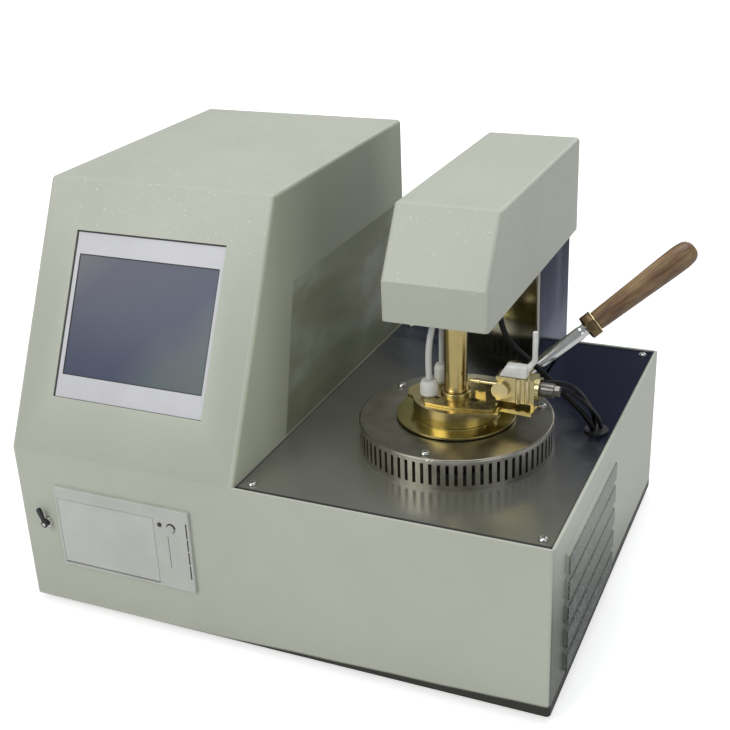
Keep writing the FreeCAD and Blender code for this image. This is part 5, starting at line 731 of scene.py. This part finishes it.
def rounded(profile, radius):
    """Rounds the corners of an open profile, in millimetres."""
    steps = 3
    points = [Vector((*point, 0.0)) for point in profile]
    made = [points[0]]
    for before, corner, after in zip(points, points[1:], points[2:]):
        back_way, on_way = before - corner, after - corner
        reach = min(radius, back_way.length * 0.45, on_way.length * 0.45)
        start = corner + back_way.normalized() * reach
        end = corner + on_way.normalized() * reach
        for step in range(steps + 1):
            share = step / steps
            made.append(start.lerp(corner, share).lerp(corner.lerp(end, share), share))
    made.append(points[-1])
    return [(point.x, point.y) for point in made]


def placed_cube(place, span):
    """A block of a span, in millimetres, about a place."""
    bm = bmesh.new()
    bmesh.ops.create_cube(bm, size=1.0)
    bmesh.ops.transform(bm, matrix=TO_METRES @ place @ Matrix.Diagonal((*span, 1.0)), verts=bm.verts)
    return bm


def block(low, high):
    """A block between two corners, in millimetres."""
    low, high = Vector(low), Vector(high)
    return placed_cube(Matrix.Translation((low + high) / 2), high - low)


def moved(bm, place):
    """Moves a bmesh in metres to a place given in millimetres."""
    bmesh.ops.transform(bm, matrix=TO_METRES @ place @ TO_METRES.inverted(), verts=bm.verts)
    return bm


def merged(*parts):
    """Several bmeshes as one."""
    whole = bmesh.new()
    for part in parts:
        mesh = bpy.data.meshes.new("part_of_piece")
        part.to_mesh(mesh)
        part.free()
        whole.from_mesh(mesh)
        bpy.data.meshes.remove(mesh)
    return whole


def along(place, way):
    """A place whose z axis points along a way."""
    return Matrix.Translation(place) @ Vector(way).to_track_quat("Z", "Y").to_matrix().to_4x4()


# How wide the softened edges of dressed nodes are
CRISP_EDGE, THIN_EDGE, PLATE_EDGE, BLOCK_EDGE = 0.2, 0.25, 0.3, 0.35
PANEL_EDGE, FOLDED_EDGE, RUBBER_EDGE = 0.4, 0.5, 0.8


# Sheet-metal covers and panels keep their own shape, with softened edges

def make_deck_gap_shadow():
    """Painted shadow: a dark line in the gap between the deck sheet and the folded edge of the housing."""
    side_gap, front_gap, short, sunk, proud = 0.3, 0.85, 3.7, 0.4, 0.05
    front_width, right_width, left_width = 4.3, 1.1, 1.0
    left, right = low_of("deck_plate", X) - side_gap, high_of("deck_plate", X) + side_gap
    front, back = low_of("deck_plate", Y) - front_gap, high_of("deck_plate", Y) - short
    low, rise = DECK - sunk, DECK + proud
    lines = (((left, front), (right, front + front_width)), ((right - right_width, front), (right, back)),
             ((left, front), (left + left_width, back)))
    strips = [block((*start, low), (*end, rise)) for start, end in lines]
    # The black rubber finish stands in here as painted shadow in the gap
    finish_piece("deck_gap_shadow", merged(*strips), "deck_plate", slot="black_rubber")


def make_covers():
    dressed("housing_shell", FOLDED_EDGE)
    dressed("rear_panel", PANEL_EDGE)
    dressed("deck_plate", THIN_EDGE)
    make_deck_gap_shadow()
    dressed("head_shell", FOLDED_EDGE)
    dressed("head_bottom", PLATE_EDGE)
    dressed("base_pan", FOLDED_EDGE)
    dressed("column", PLATE_EDGE)
    dressed("rubber_feet", RUBBER_EDGE, 3)
    dressed("guard_ring", THIN_EDGE)


# Test cup and its handle

def make_cup():
    bore, wall, collar, flange = 25.4, 27.8, 30.9, 41.5
    bowl, collar_top, lip, rounding = 108.3, 155.2, 164.3, 0.45
    lug_reach, lug_middle, lug_size, lug_rounding = 37.0, 163.0, (8.0, 9.0, 17.0), 2.6
    body = rounded([(0.0, CUP_FOOT), (wall, CUP_FOOT), (wall, FLANGE_FOOT), (flange, FLANGE_FOOT),
                    (flange, FLANGE_TOP), (collar, FLANGE_TOP), (collar, collar_top), (wall, collar_top),
                    (wall, lip), (bore, lip), (bore, bowl), (0.0, bowl)], rounding)
    cup = spun(body, 128, Matrix.Translation(CUP_AXIS))

    middle = Matrix.Translation(round_cup(lug_reach, HANDLE_TURN, lug_middle))
    lug = placed_cube(middle @ Matrix.Rotation(HANDLE_TURN, 4, "Z"), lug_size)
    top_edges = [edge for edge in lug.edges if min(vert.co.z for vert in edge.verts) > lug_middle * MM]
    soften(lug, lug_rounding * MM, 5, top_edges)
    finish_piece("cup_body", merged(cup, lug), "test_cup", replaced=("test_cup",))


def on_handle(profile, reach, steps=64):
    """A profile turned round the handle's line, at a distance along it."""
    return spun(profile, steps, along(HANDLE_START + HANDLE_WAY * reach, HANDLE_WAY))


def make_handle():
    peg, rod, neck = 2.5, 4.7, 4.3
    peg_foot, peg_end, rod_end = -2.5, 10.5, 69.5
    neck_length, taper, rounding = 3.5, 1.5, 0.5
    collar_radius, collar_length, collar_edge = 9.0, 6.8, 0.7
    ring_radius, ring_length = 8.9, 1.2
    neck_start = rod_end - neck_length
    bar = rounded([(0.0, peg_foot), (peg, peg_foot), (peg, peg_end), (rod, peg_end),
                   (rod, neck_start - taper), (neck, neck_start), (neck, rod_end), (0.0, rod_end)],
                  rounding)
    finish_piece("handle_tube", on_handle(bar, 0.0), "handle_rod", replaced=("handle_rod",))

    collar = bmesh.new()
    bmesh.ops.create_cone(collar, cap_ends=True, segments=8, radius1=collar_radius, radius2=collar_radius,
                          depth=collar_length)
    bmesh.ops.translate(collar, vec=(0, 0, collar_length / 2), verts=collar.verts)
    stand = along(HANDLE_START + HANDLE_WAY * rod_end, HANDLE_WAY)
    bmesh.ops.transform(collar, matrix=TO_METRES @ stand, verts=collar.verts)
    soften(collar, collar_edge * MM, 3)
    finish_piece("handle_collar", collar, "handle_ferrule", replaced=("handle_ferrule",))
    band = rounded([(0.0, 0.0), (ring_radius, 0.0), (ring_radius, ring_length), (0.0, ring_length)],
                   rounding)
    ring = on_handle(band, rod_end + collar_length)
    finish_piece("collar_washer", ring, "handle_ferrule", slot="nozzle_metal")

    shape = [(0.0, 0.0), (5.8, 0.0), (6.9, 0.9), (7.2, 6.0), (7.45, 16.0), (7.8, 28.0), (8.25, 42.0),
             (8.7, 56.0), (9.0, 66.0), (8.95, 74.0), (8.2, 79.0), (6.5, 82.0), (3.8, 83.6), (0.0, 84.0)]
    grip_rounding = 3.5
    grip = on_handle(rounded(shape, grip_rounding), rod_end + collar_length + ring_length, 72)
    finish_piece("wooden_grip", grip, "handle_grip", 60.0, replaced=("handle_grip",))


# Screws: domed heads, with painted shade for the cross recess

def screw_places():
    """Each screw's place and the way that its head faces."""
    up, back = Vector((0, 0, 1)), Vector((0, 1, 0))
    guard_reach = 61.0
    corners = ((-10.0, -144.0), (190.0, -144.0), (190.0, 146.0), (-10.0, 146.0))
    places = [(Vector((*corner, DECK)), up) for corner in corners]
    places += [(round_cup(guard_reach, math.radians(turn), GUARD_TOP), up) for turn in (-90.0, 30.0, 150.0)]
    rear = ((-191.0, 23.0), (-191.0, 298.0), (-28.0, 298.0), (-191.0, 119.0), (191.0, 119.0), (191.0, 23.0))
    places += [(Vector((x, BACK, z)), back) for x, z in rear]
    return places


def make_screws():
    shank, rim, crown = 1.6, 3.2, 2.3
    shank_foot, rim_top, top, rounding = -5.0, 0.6, 1.8, 0.5
    half_length, half_width, sunk, proud = 1.5, 0.22, 0.6, 0.04
    first_turn, next_turn = 23.0, 31.0
    head = rounded([(0.0, shank_foot), (shank, shank_foot), (shank, 0.0), (rim, 0.0), (rim, rim_top),
                    (crown, top), (0.0, top)], rounding)
    heads, recess_shades = [], []
    for number, (place, way) in enumerate(screw_places()):
        stand = along(place, way)
        heads.append(spun(head, 28, stand))
        turned = stand @ Matrix.Rotation(math.radians(first_turn + next_turn * number), 4, "Z")
        # Painted shade: dark bars in the crown stand in for the shade in the cross recess
        for span in ((half_length, half_width), (half_width, half_length)):
            bar = block((-span[0], -span[1], top - sunk), (*span, top + proud))
            recess_shades.append(moved(bar, turned))
    finish_piece("screw_heads", merged(*heads), "cover_screws", 40.0, replaced=("cover_screws",))
    finish_piece("screw_recess_shade", merged(*recess_shades), "cover_screws", slot="black_rubber")


# Screen: its frame, its glass and the dark gap round it, painted as shadow

SLOPE = Matrix.Translation((0.0, FRONT, RIM)) @ Matrix.Rotation(math.pi / 2 - SLOPE_LEAN, 4, "X")


def slope_frame(sides, widths, foot, top):
    """Four bars round a rectangle on the slope; sides and widths go left, right, bottom, top."""
    left, right, low, high = sides
    left_bar, right_bar, low_bar, high_bar = widths
    bars = (((left, low), (left + left_bar, high)), ((right - right_bar, low), (right, high)),
            ((left, low), (right, low + low_bar)), ((left, high - high_bar), (right, high)))
    return merged(*[moved(block((*start, foot), (*end, top)), SLOPE) for start, end in bars])


def make_screen():
    bezel_sides, glass_sides = (-171.0, -49.5, 41.0, 160.5), (-166.5, -52.5, 57.5, 144.0)
    gap_widths, gap_foot, gap_top = (1.3, 0.35, 0.3, 1.2), -2.0, -0.85
    border_widths, border_foot, border_top = (0.6, 0.6, 0.6, 0.6), -1.9, -1.4
    dressed("lcd_bezel", CRISP_EDGE)
    # Painted shadow: dark bars in the gap round the bezel, widest on the left and at the top
    gap_shadow = slope_frame(bezel_sides, gap_widths, gap_foot, gap_top)
    finish_piece("screen_gap_shadow", gap_shadow, "lcd_bezel", slot="roller_rubber")
    border = slope_frame(glass_sides, border_widths, border_foot, border_top)
    finish_piece("glass_border", border, "lcd_glass", slot="black_rubber")


# Panel printer and front valve

def button_crescent():
    """Painted shade: a curved dark stroke round part of the feed button."""
    middle, stroke, reach, start, sweep = (-69.6, -158.5, 91.0), 0.55, 3.3, 8.0, 165.0
    bm = bmesh.new()
    bmesh.ops.create_circle(bm, cap_ends=True, segments=12, radius=stroke)
    bmesh.ops.rotate(bm, cent=(0, 0, 0), matrix=Matrix.Rotation(math.pi / 2, 3, "X"), verts=bm.verts)
    bmesh.ops.translate(bm, vec=(reach, 0.0, 0.0), verts=bm.verts)
    bmesh.ops.spin(bm, geom=bm.verts[:] + bm.edges[:] + bm.faces[:], cent=(0, 0, 0), axis=(0, 0, 1),
                   angle=math.radians(sweep), steps=24, use_merge=False, use_duplicate=False)
    stand = along(middle, (0, -1, 0)) @ Matrix.Rotation(math.radians(start), 4, "Z")
    bmesh.ops.transform(bm, matrix=TO_METRES @ stand, verts=bm.verts)
    return bm


def make_printer():
    dressed("printer_bezel", PLATE_EDGE)
    dressed("printer_door", THIN_EDGE)
    dressed("feed_button", BLOCK_EDGE, 3)
    dressed("status_led", PLATE_EDGE, 3)
    dressed("gas_valve_lever", PANEL_EDGE, 3)
    dressed("gas_valve_body", CRISP_EDGE)
    right_slits = ((52.0, 63.0), (64.2, 74.0), (75.2, 84.0), (85.2, 97.0))
    right_low, right_high = (-57.6, -158.62), (-56.7, -158.2)
    left_low, left_high = (-72.9, -158.58, 58.0), (-72.6, -158.3, 84.0)
    # Painted shade: dark strips on the printer's face stand in for the shade in its slits
    slit_shades = [block((*right_low, start), (*right_high, end)) for start, end in right_slits]
    slit_shades.append(block(left_low, left_high))
    finish_piece("printer_slit_shade", merged(*slit_shades), "printer_bezel", slot="black_rubber")
    finish_piece("button_shade", button_crescent(), "printer_bezel", slot="black_rubber")


# Cover, shutter, sleeve and igniter

POST_RADIUS = 1.85


def make_insulator():
    """The slanted clay block on the igniter, with its bent neck and slim upright post."""
    left, right, front, rear, height = 32.0, 51.5, -5.3, 2.7, 8.3
    slant, edge, neck_radius = 5.0, 1.1, 2.3
    post_line, neck_start, neck_rise, knee_start, knee_rise = -1.3, 49.5, 4.0, 56.0, 12.9
    tip_share, rounding = 0.95, 1.2
    post_top = high_of("igniter_insulator", Z)
    body = block(CUP_AXIS + Vector((left, front, BLOCK_TOP)),
                 CUP_AXIS + Vector((right, rear, BLOCK_TOP + height)))
    middle = CUP_AXIS + Vector(((left + right) / 2, 0.0, BLOCK_TOP + height / 2))
    slanted = [vert for vert in body.verts if vert.co.z > middle.z * MM and vert.co.x < middle.x * MM]
    bmesh.ops.translate(body, vec=(slant * MM, 0.0, 0.0), verts=slanted)
    soften(body, edge * MM, 3)

    foot = CUP_AXIS + Vector((neck_start, post_line, BLOCK_TOP + neck_rise))
    knee = CUP_AXIS + Vector((knee_start, post_line, BLOCK_TOP + knee_rise))
    reach, tall = (knee - foot).length, post_top - knee.z
    neck = spun([(0.0, 0.0), (neck_radius, 0.0), (POST_RADIUS, reach), (0.0, reach)], 24,
                along(foot, knee - foot))
    stem = [(0.0, 0.0), (POST_RADIUS, 0.0), (POST_RADIUS * tip_share, tall), (0.0, tall)]
    post = spun(rounded(stem, rounding), 24, along(knee, (0, 0, 1)))
    ball = bmesh.new()
    bmesh.ops.create_uvsphere(ball, u_segments=24, v_segments=16, radius=POST_RADIUS * MM)
    bmesh.ops.translate(ball, vec=knee * MM, verts=ball.verts)
    finish_piece("clay_insulator", merged(body, neck, post, ball), "igniter_insulator",
                 replaced=("igniter_insulator",))


def make_sleeve():
    bore, collar, tube, rounding = 6.3, 8.6, 8.0, 0.3
    collar_top, tube_foot, upper_line, top = 173.0, 173.6, 232.0, 237.6
    sleeve = rounded([(bore, HUB_TOP), (collar, HUB_TOP), (collar, collar_top), (tube, tube_foot),
                      (tube, upper_line), (tube, top), (bore, top), (bore, HUB_TOP)], rounding)
    finish_piece("brass_sleeve", spun(sleeve, 96, Matrix.Translation(CUP_AXIS)), "shutter_sleeve",
                 replaced=("shutter_sleeve",))


def make_igniter_ribs():
    """Two upright half-round ribs on the igniter block's front."""
    places, front, radius, foot, below_top, rounding = (45.8, 52.0), -5.3, 1.74, 170.6, 0.2, 0.5
    top = BLOCK_TOP - below_top
    profile = rounded([(0.0, foot), (radius, foot), (radius, top), (0.0, top)], rounding)
    ribs = [spun(profile, 24, along(CUP_AXIS + Vector((x, front, 0.0)), (0, 0, 1))) for x in places]
    finish_piece("igniter_ribs", merged(*ribs), "igniter_block", slot="nozzle_metal")


def make_window_shades():
    """The dark of the open cup, seen through the cover's windows, as painted shade on discs laid on the
    cover.
    """
    windows, radius, depth, proud = ((15.7, -7.4), (-9.5, -11.5)), 4.6, 0.06, 0.05
    shades = []
    for x, y in windows:
        patch = bmesh.new()
        bmesh.ops.create_cone(patch, cap_ends=True, segments=24, radius1=radius, radius2=radius,
                              depth=depth)
        place = Matrix.Translation(CUP_AXIS + Vector((x, y, COVER_TOP + proud)))
        bmesh.ops.transform(patch, matrix=TO_METRES @ place, verts=patch.verts)
        shades.append(patch)
    finish_piece("window_shade", merged(*shades), "cover", slot="black_rubber")


def make_cover_pieces():
    dressed("cover", PLATE_EDGE)
    dressed("shutter", PLATE_EDGE)
    make_sleeve()
    dressed("igniter_block", BLOCK_EDGE)
    dressed("igniter_nozzle", CRISP_EDGE)
    make_igniter_ribs()
    make_insulator()
    dressed("gas_fitting", BLOCK_EDGE)
    make_window_shades()


PROBE_ONE = Vector((81.9, -50.9, 0.0))
PROBE_TWO = Vector((82.5, -28.3, 0.0))


def plug(place, radius, height):
    """A probe's plug: a narrow foot, a round body and a stepped shoulder."""
    foot_height, cap_height, step, rounding = 2.5, 2.6, 0.4, 0.7
    foot_share, step_share, top_share = 0.62, 0.9, 0.84
    foot, shoulder, top = COVER_TOP + foot_height, COVER_TOP + height - cap_height, COVER_TOP + height
    shape = [(0.0, COVER_TOP), (radius * foot_share, COVER_TOP), (radius, foot), (radius, shoulder),
             (radius * step_share, shoulder + step), (radius * top_share, top), (0.0, top)]
    return spun(rounded(shape, rounding), 64, Matrix.Translation(place))


def make_plugs():
    wide, low, slim, tall = 6.4, 12.5, 5.0, 15.0
    plugs = merged(plug(PROBE_ONE, wide, low), plug(PROBE_TWO, slim, tall))
    finish_piece("probe_plugs", plugs, "probe_connectors", replaced=("probe_connectors",))


# Leads and cables follow the construction's routes

def route_line(name, route):
    """A smooth curve through a route, and the points along it."""
    curve = bpy.data.curves.new(name + "_line", "CURVE")
    curve.dimensions = "3D"
    curve.resolution_u = 10
    spline = curve.splines.new("NURBS")
    spline.points.add(len(route) - 1)
    for point, place in zip(spline.points, route):
        point.co = (*[part * MM for part in place], 1.0)
    spline.order_u = 3
    spline.use_endpoint_u = True
    item = bpy.data.objects.new(name + "_line", curve)
    scene.collection.objects.link(item)
    line = bpy.data.meshes.new_from_object(item)
    points = [vertex.co.copy() for vertex in line.vertices]
    bpy.data.meshes.remove(line)
    return item, points


def tube_on(name, route, radius, like, replaced, bend=None):
    """A round lead along a route; with bend it is baked in place and rides with no body."""
    item, points = route_line(name, route)
    item.data.bevel_depth = radius * MM
    item.data.bevel_resolution = 4
    item.data.use_fill_caps = True
    mesh = bpy.data.meshes.new_from_object(item)
    bpy.data.objects.remove(item)
    bm = bmesh.new()
    bm.from_mesh(mesh)
    bpy.data.meshes.remove(mesh)
    bmesh.ops.remove_doubles(bm, verts=bm.verts, dist=0.00001)
    bmesh.ops.recalc_face_normals(bm, faces=bm.faces)
    for face in bm.faces:
        face.smooth = True
    slot = SLOT_OF[like]
    piece = add_piece(name, bm, slot)
    if bend:
        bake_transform(piece)
    else:
        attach(piece, BODY_OF[like])
    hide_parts(replaced)


HEAD_CABLE_ROUTE = [
    (124.0, -28.0, 232.0), (125.5, -27.6, 216.0), (133.0, -26.0, 202.0), (146.0, -20.0, 188.0),
    (159.5, -14.0, 172.0), (171.0, -8.0, 157.0), (180.0, -2.5, 145.5), (184.8, 2.5, 132.4),
]
IGNITER_LEAD_ROUTES = [
    [(158.6, -35.9, 182.4), (168.0, -34.5, 183.4), (176.5, -26.0, 177.5), (181.0, -15.0, 166.0),
     (183.2, -4.5, 153.5), (184.6, 4.0, 143.0), (184.2, 8.6, 132.4)],
    [(158.6, -35.6, 178.4), (167.0, -33.5, 178.6), (175.0, -24.5, 172.5), (181.5, -14.0, 161.5),
     (186.0, -4.0, 150.0), (188.6, 2.6, 141.5), (189.0, 7.0, 132.4)],
]
PROBE_LEAD_ROUTES = [
    [(81.9, -50.9, 179.6), (81.6, -51.3, 193.6), (82.5, -51.2, 207.6), (85.1, -50.6, 220.6),
     (86.1, -50.3, 231.4)],
    [(82.5, -28.3, 182.1), (82.7, -28.5, 200.1), (83.7, -29.5, 217.1), (84.1, -29.7, 231.4)],
]


def make_leads():
    """The leads that cross the lift run from the boot on the deck to the head or the igniter, baked in
    place on no body.
    """
    boot = Vector((185.0, 4.0, 134.0))
    to_head = (boot, Vector((124.0, -28.0, 230.0)))
    to_igniter = (boot, Vector((158.6, -36.0, 181.0)))
    upper, lower = IGNITER_LEAD_ROUTES
    front, rear = PROBE_LEAD_ROUTES
    tube_on("head_lead", HEAD_CABLE_ROUTE, 2.0, "head_cable", "head_cable", to_head)
    tube_on("spark_lead_upper", upper, 1.5, "head_cable", "igniter_leads", to_igniter)
    tube_on("spark_lead_lower", lower, 1.5, "head_cable", "igniter_leads", to_igniter)
    tube_on("probe_lead_front", front, 2.2, "probe_leads", "probe_leads")
    tube_on("probe_lead_rear", rear, 1.7, "probe_leads", "probe_leads")


make_studio()
make_covers()
make_cup()
make_handle()
make_screws()
make_screen()
make_printer()
make_cover_pieces()
make_plugs()
make_leads()

scene.view_settings.view_transform = "Standard"
